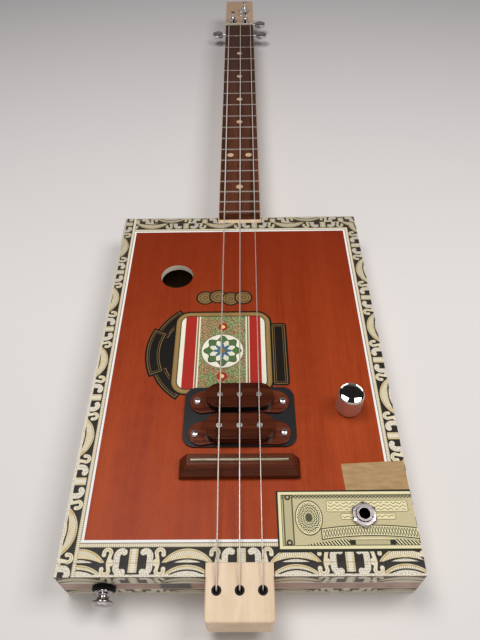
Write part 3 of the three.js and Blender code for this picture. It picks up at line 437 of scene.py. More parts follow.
def scrolls(finish, along, out, band, ground, chain=None):
    """Gives the colour and relief of one band, from the place along the edge and the distance outward.

    chain is 1 where a row of pearls closes the paper's outer edge.
    """
    fold = along.fold(LEAF)
    up = band["up"]
    curl_along, curl_out = band["curl"]
    leaf_center, leaf_radius = band["leaf"]

    def away(place):
        return finish.apart(fold, out, place)

    leg = ((out - band["arch"][1]) * up).least(0.0)
    arch = finish.length(fold - band["arch"][0], leg).near(3.0, 1.75) & (fold > band["tip"][0])
    above = (out - (curl_out + 0.4 * up)) * up < 0.0
    ring = away(band["curl"]).near(2.05, 1.1) & above
    knob = away((curl_along + 2.0, curl_out + 0.8 * up)).inside(1.25)
    lean = (out - band["stem"][1]) * (0.2 * up)
    stem = (fold - lean).near(band["stem"][0], 1.05) & ~above
    curls = ring | knob | stem | away(band["bead"]).inside(1.3)
    pearls = arch | away(band["tip"]).inside(1.75) | away(band["fan"][0]).inside(band["fan"][1])
    if up < 0:
        pearls = pearls | (out > FRINGE)
    if chain is not None:
        pearls = pearls | chain
    rim = away(leaf_center)
    leaf = rim.inside(leaf_radius) & ~away(band["hollow"][0]).inside(band["hollow"][1])
    heart = leaf & rim.near(leaf_radius - 2.5, 1.15) & (fold > LEAF - 9.0)
    bar = fold.inside(2.45) & (out > band["bar"][0]) & (out < band["bar"][1])

    sown = {"Vector": finish.pair(along, out), "Scale": PEARLS_PER_MM, "Randomness": 0.35}
    seeds = finish.add("ShaderNodeTexVoronoi", "Distance", sown, voronoi_dimensions="2D")
    dots = seeds.between(0.36, 0.54)
    hatch = (along + out * 0.35).fold(0.55).between(0.2, 0.4)
    gold = Picture(finish, finish.mix(finish.noise(0.22, 4, 0.6).between(0.35, 0.65), PAPER_GOLD, PALE_GOLD))
    gold.lay(finish.noise(1.3, 2).between(0.55, 0.7) * 0.5, PAPER_OLD_GOLD)
    rungs = Picture(finish, finish.mix(fold.inside(1.2), gold.color, PAPER_PEARL))
    rungs.lay(out.fold(0.45).between(0.2, 0.3, 0.0, 0.4), PAPER_OLD_GOLD)

    art = Picture(finish, ground)
    art.lay(curls, finish.mix(0.45, gold.color, PAPER_PEARL))
    art.lay(ring & away(band["curl"]).near(2.1, 0.12), PAPER_OLD_GOLD)
    art.lay(leaf, gold.color)
    art.lay(leaf & rim.near(leaf_radius - 0.75, 0.14), PAPER_OLD_GOLD)
    art.lay(heart, finish.mix(hatch, PAPER_PEARL, HATCH_SHADE))
    art.lay(bar, rungs.color)
    art.lay(pearls, finish.mix(dots, PAPER_PEARL, PEARL_SHADE))
    # painted shade: the print darkens towards the head end, where the light falls off
    art.lay(finish.y.between(-40, 150, 0.0, HEAD_SHADE_SHARE), PAINTED_HEAD_SHADE)
    return art.color, (curls | leaf | bar | pearls) - (pearls & dots) * 0.5


print("scroll band of", SCROLL_PERIOD, "mm")

# %% [markdown]
# ## Stripes and strips
# On top, four strips of paper frame the middle panel. The left strip lies over the others and runs to the
# corners. For any point, one helper tells how far out of the panel it lies, how far along its strip, and on
# which strip it is. Each strip's pattern starts at a bar of its own, since the paper was cut without regard
# to it.

# %% Stripes and strips
PANEL_HALF_Y = 133.6
PANEL_MIDDLE_Y = 0.3
PANEL_LEFT = 90.2
PANEL_RIGHT = 90.8
PANEL_SKEW = 0.005
WHITE_STRIPE = 1.5
DARK_LINE = 1.8
BEAD_STRIPE = 4.1
BEAD_PITCH = 1.15
BEAD_SQUASH = 0.46
LEFT_BAR = 24.1
RIGHT_BAR = -7.0
TAIL_BAR = 1.0
HEAD_BAR = 13.1
HEAD_WALL_BAR = 29.6
CHAIN_X = -101.3


def paper_places(finish):
    """The distance out of the panel, the place along a strip, and masks of the left strip and the head."""
    past_left = finish.x * -1.0 - PANEL_LEFT - finish.y * PANEL_SKEW
    past_right = finish.x - PANEL_RIGHT
    past_end = abs(finish.y - PANEL_MIDDLE_Y) - PANEL_HALF_Y
    on_left = past_left > (past_end > 0.0) * DARK_LINE
    on_end = past_end > past_right.most(0.0)
    head = finish.y > 0.0
    along_end = finish.x - finish.pick(head, TAIL_BAR, HEAD_BAR)
    along = finish.pick(on_end, finish.y - RIGHT_BAR, along_end)
    along = finish.pick(on_left, along, finish.y - LEFT_BAR)
    beyond = finish.pick(on_left, finish.pick(on_end, past_right, past_end), past_left)
    return beyond, along, on_left, head


def striped(finish, beyond, along, ground):
    """The white stripe, the dark line and the beads over a ground colour."""
    middle = (DARK_LINE + BEAD_STRIPE) / 2
    radius = finish.length(along.fold(BEAD_PITCH / 2), (beyond - middle) * BEAD_SQUASH)
    art = Picture(finish, ground)
    art.lay(beyond < BEAD_STRIPE, finish.mix(radius.between(0.4, 0.58), PAPER_CREAM, screen(158, 138, 102)))
    art.lay(beyond < DARK_LINE, screen(92, 74, 66))
    art.lay(beyond < WHITE_STRIPE, PAPER_WHITE)
    return art.color


print("panel of", PANEL_LEFT + PANEL_RIGHT, "x", 2 * PANEL_HALF_Y, "mm")

# %% [markdown]
# ## The labels' folds
# Two paper labels on the corner by the jack are folded down over the right side of the box. The parts on the
# side are drawn into the side's own print, over the lid's edge and the wall alike, because paper that is
# stuck down flat adds no shape there that could be seen.

# %% The labels' folds
SEAL_PALE = screen(236, 225, 178)
SEAL_TINT = screen(190, 180, 140)
SEAL_INK = screen(86, 84, 60)
SEAL_DARK = screen(42, 44, 38)
SEAL_LEFT, SEAL_RIGHT = 21.6, 103.0
SEAL_TOP, SEAL_BOTTOM = -104.0, -140.2
SEAL_FOLD_FOOT = 9.0
KRAFT_LEFT, KRAFT_TOP, KRAFT_BOTTOM = 63.2, -85.2, -104.2
KRAFT_FOLD_FOOT = 20.0


def folded_labels(finish, face, on_side):
    """The ends of the two paper labels over a side's print."""
    folded = on_side & (finish.x > 0.0) & (finish.y < KRAFT_TOP)
    kraft_part = folded & (finish.y > KRAFT_BOTTOM) & (finish.z > KRAFT_FOLD_FOOT)
    seal_part = folded & (finish.y < SEAL_TOP) & (finish.y > SEAL_BOTTOM) & (finish.z > SEAL_FOLD_FOOT)
    art = Picture(finish, face)
    art.lay(kraft_part, screen(172, 138, 94))
    art.lay(seal_part, finish.mix(finish.z.lines(0.9), SEAL_PALE, SEAL_TINT))
    return art.color


print("folds of", round(lid_top / MM - SEAL_FOLD_FOOT), "and", round(lid_top / MM - KRAFT_FOLD_FOOT), "mm")

# %% [markdown]
# ## The lid
# The middle panel is a red-brown cedar print under satin varnish, with a medallion in its middle: a framed
# star on a cream field between two red bands, a black ribbon, a black plate and a row of gold coins. Each
# shape is a distance to a circle or to a rounded block, and a shape's outline is the same distance with a
# wider limit. Every shape is laid over the ones before it, as a printer lays inks.

# %% The lid
INK = screen(27, 23, 20)
COIN_GOLD = screen(142, 112, 66)
COIN_SHADE = screen(120, 96, 62)
ROPE_GOLD = screen(164, 134, 84)
BAND_RED = screen(168, 44, 34)
LEAF_GREEN = screen(82, 112, 68)
STAR_BLUE = screen(66, 110, 138)
STAR_CREAM = screen(232, 226, 200)
DISC_CREAM = screen(236, 230, 210)
FLOWER_YELLOW = screen(236, 214, 140)
GARDEN_GREENS = (screen(66, 84, 46), screen(168, 178, 122))
GARDEN_SOILS = (screen(104, 74, 46), screen(186, 158, 116))
FIELD_CREAMS = (screen(226, 220, 194), screen(240, 236, 220))
CEDAR_TONES = (screen(134, 45, 13), screen(178, 75, 31), screen(108, 36, 13))
BARE_CEDAR = (screen(238, 220, 196), screen(252, 240, 222))
RIBBON_CENTER = (-16.0, 2.0)
RIBBON_ARCS = ((44.0, 0.62, 0.3), (44.0, -0.66, 0.3), (47.0, 0.0, 0.42))
RIBBON_HALF = 5.2
COIN_XS = (-27.0, -17.0, -7.0, 3.0)
COIN_Y = 55.0
FRAME_CENTER = (-12.5, 2.5)
FRAME_HALF = (35.0, 36.5)
UPPER_BAND_TOP = 33.4


def block(finish, place, half, corner):
    """The distance to a rounded block's edge, below 0 inside it, and two distances from its middle."""
    across, along = finish.x - place[0], finish.y - place[1]
    past_side = abs(across) - (half[0] - corner)
    past_end = abs(along) - (half[1] - corner)
    outer = finish.length(past_side.most(0.0), past_end.most(0.0))
    return outer + past_side.most(past_end).least(0.0) - corner, across, along


def ribbon(art, edge):
    """A black shape with two gold lines inside its edge."""
    art.lay(edge.inside(0.8), INK)
    art.lay(edge.near(-0.9, 0.22), COIN_GOLD)
    art.lay(edge.near(-2.3, 0.12), COIN_GOLD)


def star_field(finish, across, along):
    """The picture inside the frame: a star on a cream field."""
    leaves = finish.noise(0.85, 4, 0.7).between(0.4, 0.6)
    soil = finish.noise(0.16, 2).between(0.46, 0.58)
    garden = finish.mix(soil, finish.mix(leaves, *GARDEN_GREENS), finish.mix(leaves, *GARDEN_SOILS))
    radius = finish.length(across, along)
    points = (along.bearing(across) * 8.0).cosine() * 1.6
    field = Picture(finish, finish.mix(finish.noise(0.15, 3), *FIELD_CREAMS))
    for mask, color in (
        (abs(across).inside(17.0), garden), (radius.inside(15.6), INK), (radius.inside(15.2), DISC_CREAM),
        (abs(across).near(24.0, 4.2), BAND_RED), (abs(across).near(18.6, 0.6), COIN_GOLD),
        ((radius - points).inside(12.4), INK), ((radius - points).inside(11.8), LEAF_GREEN),
        ((radius + points).inside(8.2), STAR_CREAM), ((radius - points).inside(5.4), STAR_BLUE),
        (radius.inside(2.3), COIN_GOLD),
    ):
        field.lay(mask, color)
    for side in (-1, 1):
        flower = finish.apart(across, along * side, (0.0, 22.5))
        field.lay(flower.inside(3.6), BAND_RED)
        field.lay(flower.inside(1.6), FLOWER_YELLOW)
    return field.color


def medallion(finish, ground):
    """The design in the middle of the lid's panel."""
    art = Picture(finish, ground)
    out = finish.apart(finish.x, finish.y, RIBBON_CENTER)
    sweep = (finish.y - RIBBON_CENTER[1]).bearing(RIBBON_CENTER[0] - finish.x)
    behind = (abs(out - 39.0) - 8.6).most((abs(sweep) - 0.86) * 44.0)
    art.lay(behind.inside(0.0), INK)
    for radius, middle, half in RIBBON_ARCS:
        end = abs(sweep - middle) - half
        ribbon(art, (abs(out - radius) - RIBBON_HALF).most(end * radius))
    ribbon(art, block(finish, (29.0, 0.0), (5.4, 27.5), 2.0)[0])
    coin_print = finish.mix(finish.noise(0.9, 3).between(0.35, 0.65), COIN_GOLD, COIN_SHADE)
    for step, x in enumerate(COIN_XS):
        coin = finish.apart(finish.x, finish.y, (x, COIN_Y + 1.4 * math.sin(step * 2.1)))
        art.lay(coin.inside(7.2), INK)
        art.lay(coin.inside(6.0), coin_print)
        art.lay(coin.near(4.4, 0.2), INK)
        art.lay(coin.near(1.6, 0.2), INK)
    edge, across, along = block(finish, FRAME_CENTER, FRAME_HALF, 10.0)
    art.lay(edge.inside(1.7), INK)
    art.lay(edge.inside(0.3), COIN_GOLD)
    art.lay(edge.near(-1.5, 0.9) & (across + along).fold(0.8).between(0.3, 0.6), ROPE_GOLD)
    art.lay(edge.inside(-3.0), INK)
    art.lay(edge.inside(-3.6), star_field(finish, across, along))
    return art.color


lid = wood("printed_lid", *CEDAR_TONES, streak=0.9, pores=0.35, gloss=0.4, bands=0.05, pore_size=2.2,
           gleam=0.1)
figure = lid.noise(0.035, 3, 0.5, 1.5, stretch=(1, 0.12, 1), shift=(0, 30, 0))
panel = Picture(lid, lid.tone)
panel.lay(figure.between(0.4, 0.62, 0.0, 0.35), screen(134, 46, 24))
panel.lay(lid.noise(0.09, 4, 0.6).between(0.4, 0.65, 0.0, 0.25), screen(172, 70, 36))
# painted shade: the cedar print darkens towards the head end, where the light falls off
panel.lay(lid.y.between(-60, 130, 0.0, 0.75), screen(118, 36, 16))
beyond, along, on_left, head = paper_places(lid)
border, relief = scrolls(lid, along, beyond - BEAD_STRIPE, INNER_BAND, PAPER_BLACK, lid.x < CHAIN_X)
top = lid.mix(beyond > 0.0, medallion(lid, panel.color), striped(lid, beyond, along, border))
faces_up = lid.parts(lid.add("ShaderNodeNewGeometry", "Normal", {}))[2] > 0.5
on_side = abs(lid.x) > lid_high.x / MM - 0.35
side_print, relief = scrolls(lid, lid.y - LEFT_BAR, UPPER_BAND_TOP - lid.z, INNER_BAND, PAPER_BLACK)
rim = Picture(lid, lid.mix(lid.noise(0.8, stretch=(1, 0.05, 1)), *BARE_CEDAR))
rim.lay(on_side, folded_labels(lid, side_print, on_side))
rim.lay(faces_up, top)
lid.color(rim.color)
print("lid print over", round((lid_high.x - lid_low.x) / MM), "x", round((lid_high.y - lid_low.y) / MM), "mm")

# %% [markdown]
# ## The walls
# The tops of the two end walls carry the outer half of the motif, so that bars and arches run on across the
# seam. The left strip of the lid's paper runs on over them to the corners. On the faces the same paper is
# folded down: a band of scrolls at the top and one at the bottom, with a rose-brown stripe between them.

# %% The walls
UPPER_BAND_FOOT = 22.6
LOWER_BAND_TOP = 10.4
THIN_LINE = 0.8
WORN_X = -37.0
WALL_BLACKS = (screen(56, 52, 48), screen(92, 86, 78))
ROSE_STRIPE = (screen(168, 132, 118), screen(196, 164, 150))
WALL_INSIDE = (screen(92, 68, 46), screen(122, 94, 66))
BOX_UNDERSIDE = (screen(150, 122, 88), screen(176, 150, 114))


def wall_print(name, seam=0.0):
    """The paper round the box. An end wall has a seam with the lid, and its top carries the fringe."""
    finish = Finish(name)
    on_side = abs(finish.x) > box_high.x / MM - 0.4
    on_end = abs(finish.y) > box_high.y / MM - 0.4
    run = finish.pick(on_side, finish.x - TAIL_BAR, finish.y - LEFT_BAR)
    wear = finish.noise(0.12, 4, 0.6)
    ground = finish.mix(wear, *WALL_BLACKS)
    upper, high = scrolls(finish, run, UPPER_BAND_TOP - finish.z, INNER_BAND, ground)
    lower, low = scrolls(finish, run, LOWER_BAND_TOP - finish.z, OUTER_BAND, ground)
    rose = Picture(finish, finish.mix(wear.between(0.35, 0.65), *ROSE_STRIPE))
    rose.lay(on_end & finish.x.near(WORN_X, 9.0, 1.0) & (finish.y < 0.0), screen(88, 82, 82))
    face = Picture(finish, lower)
    face.lay(finish.z > LOWER_BAND_TOP, PAPER_CREAM)
    face.lay(finish.z > LOWER_BAND_TOP + THIN_LINE, rose.color)
    face.lay(finish.z > UPPER_BAND_FOOT - THIN_LINE, PAPER_CREAM)
    face.lay(finish.z > UPPER_BAND_FOOT, upper)
    face.lay(0.12, screen(150, 146, 140))
    wall = Picture(finish, finish.mix(finish.noise(0.8, stretch=(0.05, 0.05, 1)), *WALL_INSIDE))
    wall.lay(finish.z < 0.3, finish.mix(finish.noise(0.6, 5, 0.7).between(0.4, 0.6), *BOX_UNDERSIDE))
    wall.lay(on_side | on_end, folded_labels(finish, face.color, on_side))
    relief = finish.pick(finish.z > UPPER_BAND_FOOT, low, high)
    if seam:
        beyond, along, on_left, head = paper_places(finish)
        chain = finish.x < CHAIN_X
        strip, strip_relief = scrolls(finish, along, beyond - BEAD_STRIPE, INNER_BAND, PAPER_BLACK, chain)
        bar = finish.pick(head, TAIL_BAR, HEAD_WALL_BAR)
        fringe, fringe_relief = scrolls(finish, finish.x - bar, abs(finish.y) - seam, OUTER_BAND, PAPER_BLACK,
                                        chain)
        on_top = finish.z > lid_top / MM - 0.3
        wall.lay(on_top, finish.mix(on_left, fringe, striped(finish, beyond, along, strip)))
        relief = finish.pick(on_top, relief, finish.pick(on_left, fringe_relief, strip_relief))
    finish.color(wall.color)
    finish.roughness(wear.between(0.3, 0.7, 0.42, 0.56))
    finish.bump(relief, 0.04, 0.25)
    finish.set(Specular_IOR_Level=0.2)
    return finish.material


end_paper = wall_print("end_wall_paper", lid_high.y / MM)
side_paper = wall_print("side_wall_paper")
print("walls printed")

# %% [markdown]
# ## Metals
# Chrome is nearly a mirror, with faint smudges in its gloss and tone. The strap button's chrome is a darker
# copy, a painted dark reflection. Fret wire is duller, and painted shade darkens it towards the head. Music
# wire is thin and round, so it is given some plain colour as well: it then catches the light along its whole
# length, as polished strings do, and a painted highlight makes it palest over the board.

# %% Metals
KNOB = (73.0, -46.1)
CHROME = screen(222, 218, 218)


def metal(name, color, tarnish, gloss, smudge, brush=(1, 1, 1), scratch=0.0, metallic=1.0, grain=1.4):
    finish = Finish(name)
    marks = finish.noise(grain, 4, stretch=brush)
    finish.color(finish.mix(marks.between(0.45, 0.75), color, tarnish))
    finish.set(Metallic=metallic)
    finish.roughness(marks.between(0.35, 0.7, gloss, gloss + smudge))
    if scratch:
        finish.bump(marks, scratch, 0.3)
    return finish


chrome = metal("chrome", CHROME, screen(200, 196, 197), 0.04, 0.05, grain=0.3).material
# painted reflection: a darker copy of chrome that stands for the dark felt and surroundings the strap button
# mirrors
shaded_strap_chrome = metal("shaded_strap_chrome", screen(170, 165, 166), screen(146, 141, 142), 0.05, 0.05,
                     grain=0.3).material
nut_chrome = metal("nut_chrome", screen(208, 198, 196), screen(192, 182, 180), 0.26, 0.04,
                   grain=0.15).material
knob = metal("knob_chrome", CHROME, CHROME, 0.04, 0.03, grain=0.2)
knob_side = (knob.z < 50.4) & (knob.apart(knob.x, knob.y, KNOB) > 8.0)
pits = knob.noise(2.2, 4, 0.7).between(0.52, 0.66)
knob.color(knob.mix(knob_side & pits, screen(222, 216, 214), screen(136, 112, 104)))
knob.roughness(knob.pick(knob_side, 0.05, pits.between(0.0, 1.0, 0.26, 0.5)))
knob.put(knob.shader.inputs["Metallic"], knob.pick(knob_side, 1.0, 0.84))
fret_metal = metal("fret_wire", screen(168, 154, 144), screen(130, 114, 106), 0.36, 0.2, brush=(0.15, 3, 3),
                   scratch=0.01, metallic=0.8)
# painted shade: the frets darken towards the head, where the light falls off
fret_metal.paint(fret_metal.y.between(150, 480, 0.0, 0.85), screen(98, 85, 79))
pole_steel = metal("pole_steel", screen(184, 176, 170), screen(150, 142, 134), 0.27, 0.1).material
saddle_metal = metal("saddle_wire", screen(176, 164, 138), screen(108, 96, 76), 0.3, 0.2, brush=(0.2, 3, 3),
                     scratch=0.03, grain=0.6).material
plated = metal("zinc_plate", screen(186, 184, 172), screen(150, 146, 132), 0.3, 0.2, scratch=0.02).material
brass = metal("ball_end_brass", screen(206, 172, 104), screen(150, 118, 66), 0.25, 0.2).material
plain_wire = metal("plain_string", screen(214, 200, 190), screen(190, 172, 160), 0.3, 0.15,
                   brush=(4, 0.1, 4))
wound_wire = metal("wound_string", screen(206, 190, 178), screen(168, 148, 134), 0.34, 0.12,
                   brush=(4, 0.1, 4))
for string_metal in (plain_wire, wound_wire):
    place = string_metal.y
    # painted highlight: over the board the strings are painted pale and made less metallic, a glint along the
    # wire
    painted_glint = place.between(110, 190, 0.0, 0.42) - place.between(380, 560, 0.0, 0.3)
    string_metal.put(string_metal.shader.inputs["Metallic"], 0.55 - painted_glint)
    string_metal.paint(painted_glint * 1.4, screen(244, 234, 224))
wound_wire.bump(wound_wire.y.fold(0.14).root(), 0.08, 0.8)
print("chrome, fret wire, steel, zinc plate and brass")

# %% [markdown]
# ## Plastics, rubber, felt and bone
# The dark small pieces differ by their surface: the plate is satin sheet with fine scratches, the coils are
# wrapped in shiny tape, ferrules are dull rubber and the strap washer is fibrous felt. Bone is pale with
# faint pores.

# %% Plastics, rubber, felt and bone
def dull(name, dark, light, rough, grain, depth, sheen=0.0, gleam=0.3):
    finish = Finish(name)
    marks = finish.noise(grain, 5, 0.6)
    finish.color(finish.mix(marks, dark, light))
    finish.roughness(marks.between(0.3, 0.7, rough - 0.05, rough + 0.1))
    finish.bump(marks, depth, 0.4)
    finish.set(Sheen_Weight=sheen, Specular_IOR_Level=gleam)
    return finish.material


plate_plastic = dull("plate_plastic", screen(26, 25, 26), screen(42, 40, 40), 0.3, 6.0, 0.006, gleam=0.2)
coil_tape = dull("coil_tape", screen(9, 9, 9), screen(20, 19, 18), 0.14, 1.2, 0.03, gleam=0.5)
rubber = dull("ferrule_rubber", screen(12, 11, 11), screen(24, 22, 22), 0.5, 4.0, 0.02, gleam=0.16)
felt = dull("strap_felt", screen(5, 5, 5), screen(24, 23, 23), 0.95, 7.0, 0.3, sheen=0.1, gleam=0.1)
sheath = dull("lead_sheath", screen(22, 22, 23), screen(36, 36, 38), 0.55, 2.0, 0.02)
bone = dull("bone", screen(158, 147, 128), screen(186, 176, 156), 0.4, 1.5, 0.02)
dot_wood = dull("dot_maple", screen(184, 150, 118), screen(210, 182, 150), 0.45, 1.1, 0.02)
print("seven dull materials")

# %% [markdown]
# ## The paper labels
# Two paper labels are stuck on the corner by the jack, and both fold over the edge of the box. One is plain
# brown paper. The other is pale green, with fine engraved patterns: a rosette in an oval, wavy line work, an
# empty ribbon and hatched corners. Engraved waves are just sines of one coordinate added to the other, cut
# to thin lines. Both sheets are thin slabs, and the green one has a round hole cut out of it for the jack.

# %% The paper labels
SEAL_GROUND = screen(222, 208, 164)
SEAL_PANELS = (((75.5, -114.2), (24.0, 3.4)), ((75.5, -120.4), (16.0, 1.8)))
SEAL_MIDDLE = 76.0
SEAL_RIBBON_Y = -128.6
SEAL_COLUMN_X = 28.6
OVAL_CENTER = (40.6, -121.0)
SEAL_FOLDED_END = 110.0
JACK = (73.0, -119.8)
JACK_HOLE = 4.85


def seal_panels(finish, art):
    """The empty panels, the lace above them and the ribbon below."""
    x, y = finish.x, finish.y
    scallop = abs((x * 1.5).sine())
    art.lay(y.near(-108.2, 1.6), SEAL_TINT)
    art.lay((y + scallop).near(-107.2, 0.35) | (y - scallop).near(-109.3, 0.3), SEAL_DARK)
    for place, half in SEAL_PANELS:
        edge, across, along = block(finish, place, half, 1.0)
        curls = along + ((across * 1.7).sine() * 0.5 + (across * 0.43).sine() * 0.4)
        art.lay(edge.inside(0.0), SEAL_PALE)
        art.lay(edge.inside(-0.9) & curls.lines(2.1, 0.2), SEAL_INK)
        art.lay(edge.near(0.0, 0.16), SEAL_INK)
    bent = y + (x - SEAL_MIDDLE).power(2.0) * 0.0025
    art.lay(bent.near(SEAL_RIBBON_Y, 3.3) & (x > 47.0), SEAL_DARK)
    art.lay(bent.near(SEAL_RIBBON_Y, 2.7) & (x > 47.6), SEAL_PALE)
    links = abs(x.fold(1.6) - 0.8) + abs(bent - SEAL_RIBBON_Y) * 0.3
    art.lay(links.near(0.75, 0.2) & bent.near(SEAL_RIBBON_Y, 2.3) & (x > 48.2), SEAL_DARK)
    foot = (bent < -133.0) & (y > -137.2)
    art.lay(foot, SEAL_PALE)
    art.lay(foot & (x + y * 0.8).lines(1.9, 0.55) & (abs(x - SEAL_MIDDLE) > 12.6), SEAL_DARK)
    edge, across, along = block(finish, (SEAL_MIDDLE, -135.4), (13.0, 1.3), 0.5)
    art.lay(edge.inside(0.3), SEAL_DARK)
    art.lay(edge.inside(0.0), SEAL_TINT)
    art.lay(edge.inside(0.0) & (abs(across) > 9.8), SEAL_DARK)


def seal_print(finish):
    """The engraved pattern of the green label."""
    x, y = finish.x, finish.y
    art = Picture(finish, SEAL_GROUND)
    art.lay((y + (x * 1.1).sine() * 0.6).lines(0.75, 0.45) * 0.45, SEAL_INK)
    seal_panels(finish, art)
    column = block(finish, (SEAL_COLUMN_X, -122.0), (2.5, 14.6), 0.6)[0]
    art.lay(column.inside(0.5), SEAL_INK)
    art.lay(column.inside(-0.3), SEAL_TINT)
    for end in (-108.6, -135.4):
        art.lay(finish.apart(x, y, (SEAL_COLUMN_X, end)).near(1.3, 0.5), SEAL_DARK)
    across, along = x - OVAL_CENTER[0], (y - OVAL_CENTER[1]) * 0.78
    oval = finish.length(across, along)
    petals = (along.bearing(across) * 12.0).sine() * 0.7
    art.lay(oval.inside(7.9), SEAL_PALE)
    art.lay(oval.near(7.9, 0.25), SEAL_DARK)
    art.lay(oval.inside(7.0) & (oval + petals).lines(1.3, 0.5), SEAL_DARK)
    art.lay(oval.inside(1.9), SEAL_INK)
    middle, half = (SEAL_LEFT + SEAL_FOLDED_END) / 2, (SEAL_FOLDED_END - SEAL_LEFT) / 2
    edge = block(finish, (middle, -122.1), (half, 18.1), 0.3)[0]
    framed = Picture(finish, finish.mix(edge.inside(-3.0), SEAL_PALE, art.color))
    framed.lay(edge.near(-3.2, 0.2), SEAL_INK)
    return finish.mix(edge.inside(-1.3), SEAL_DARK, framed.color)


def paper(name):
    """A label's paper, without its colour, and its fibres."""
    finish = Finish(name)
    fibers = finish.noise(1.6, 4, 0.7)
    finish.roughness(fibers.between(0.3, 0.7, 0.6, 0.75))
    finish.bump(fibers, 0.02, 0.4)
    finish.set(Specular_IOR_Level=0.12)
    return finish, fibers


seal, fibers = paper("seal_paper")
seal.color(seal.mix(fibers.between(0.3, 0.8, 0.0, 0.14), seal_print(seal), SEAL_INK))
kraft, fibers = paper("kraft_paper")
cockle = kraft.noise(0.12, 2, stretch=(1, 3, 1))
kraft_tone = (fibers * 0.5 + cockle * 0.5).between(0.35, 0.65)
kraft.color(kraft.mix(kraft_tone, screen(158, 126, 86), screen(184, 152, 110)))


def new_piece(name, bm, material, body="root", stands_for=(), smooth=32, flat=False):
    """Turns a bmesh into a piece that rides on a body, and may stand for CAD nodes."""
    bmesh.ops.recalc_face_normals(bm, faces=bm.faces)
    mesh = bpy.data.meshes.new(name)
    bm.to_mesh(mesh)
    bm.free()
    mesh.shade_smooth()
    mesh.set_sharp_from_angle(angle=math.radians(smooth))
    mesh.materials.append(material)
    piece = bpy.data.objects.new(name, mesh)
    bpy.context.scene.collection.objects.link(piece)
    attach(piece, body)
    if stands_for:
        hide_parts(*stands_for)
    if flat:
        piece.modifiers.new("flat_faces", "WEIGHTED_NORMAL").keep_sharp = True
    return piece


def carved(bm, cutter):
    """One bmesh cut out of another with a Boolean modifier."""
    solids = []
    for shape in (bm, cutter):
        bmesh.ops.recalc_face_normals(shape, faces=shape.faces)
        mesh = bpy.data.meshes.new("solid")
        shape.to_mesh(mesh)
        shape.free()
        solids.append(bpy.data.objects.new("solid", mesh))
        bpy.context.scene.collection.objects.link(solids[-1])
    cut = solids[0].modifiers.new("cut", "BOOLEAN")
    cut.operation = "DIFFERENCE"
    cut.object = solids[1]
    cut.use_self = True
    bpy.context.view_layer.update()
    result = bmesh.new()
    result.from_object(solids[0], bpy.context.evaluated_depsgraph_get())
    for solid in solids:
        mesh = solid.data
        bpy.data.objects.remove(solid)
        bpy.data.meshes.remove(mesh)
    return result


def paper_sheet(left, right, bottom, top, thickness, lean):
    """A thin slab on the lid. lean skews it a little, as a label stuck on by hand."""
    bm = bmesh.new()
    bmesh.ops.create_grid(bm, x_segments=1, y_segments=1, size=0.5)
    bmesh.ops.scale(bm, vec=Vector((right - left, top - bottom, 1)) * MM, verts=bm.verts)
    bmesh.ops.translate(bm, vec=Vector(((left + right) / 2, (top + bottom) / 2, 0)) * MM, verts=bm.verts)
    bmesh.ops.translate(bm, vec=(0, 0, lid_top + 0.01 * MM), verts=bm.verts)
    for vert in bm.verts:
        vert.co.y += lean * (vert.co.x - right * MM)
    for vert in [v for v in bm.verts if v.co.x < (left + 1) * MM]:
        vert.co.x += lean * (vert.co.y - top * MM) * -1
    ring = bmesh.ops.extrude_face_region(bm, geom=bm.faces[:])
    raised = [v for v in ring["geom"] if isinstance(v, bmesh.types.BMVert)]
    bmesh.ops.translate(bm, vec=(0, 0, thickness * MM), verts=raised)
    return bm


bm = paper_sheet(KRAFT_LEFT, SEAL_RIGHT - 0.3, KRAFT_BOTTOM - 1.5, KRAFT_TOP, 0.04, 0.05)
new_piece("kraft_label", bm, kraft.material)
bm = paper_sheet(SEAL_LEFT, SEAL_RIGHT - 0.3, SEAL_BOTTOM, SEAL_TOP, 0.08, 0.008)
seal_hole = bmesh.new()
bmesh.ops.create_cone(seal_hole, cap_ends=True, segments=64, radius1=JACK_HOLE * MM, radius2=JACK_HOLE * MM,
                      depth=4 * MM)
bmesh.ops.translate(seal_hole, vec=(JACK[0] * MM, JACK[1] * MM, lid_top), verts=seal_hole.verts)
new_piece("seal_label", carved(bm, seal_hole), seal.material)
print("two labels")

# %% [markdown]
# ## Rounded edges
# No real edge is sharp: each catches a thin line of light. The CAD pieces have the right shapes with sharp
# edges, so a copy of each gets its loose triangles merged, its flat faces joined, and its sharp edges
# bevelled by the width that its material takes: a hair on metal, half a millimetre on wood, a quarter on the
# papered boards, where it also draws the seams between lid and walls. Frets, saddle and pot keep their CAD
# solids and only get a material.

# %% Rounded edges
TUNERS = {"left": (-8.8, 575.0), "right_far": (7.4, 607.5), "right_near": (8.4, 571.5)}
ROUNDED_BOARDS = (
    ("lid_panel", 0.25, lid.material, "lid"), ("tail_end_wall", 0.25, end_paper, "box_paper"),
    ("head_end_wall", 0.25, end_paper, "box_paper"), ("left_side_wall", 0.25, side_paper, "box_paper"),
    ("right_side_wall", 0.25, side_paper, "box_paper"), ("bottom_panel", 0.25, side_paper, "box_paper"),
    ("neck", 0.5, maple.material, "maple"), ("fretboard", 0.3, rosewood.material, "rosewood"),
    ("nut", 0.2, bone, "bone"), ("bridge", 0.5, bridge_wood.material, "rosewood"),
    ("pickup_plate", 0.35, plate_plastic, "black_plate"),
)


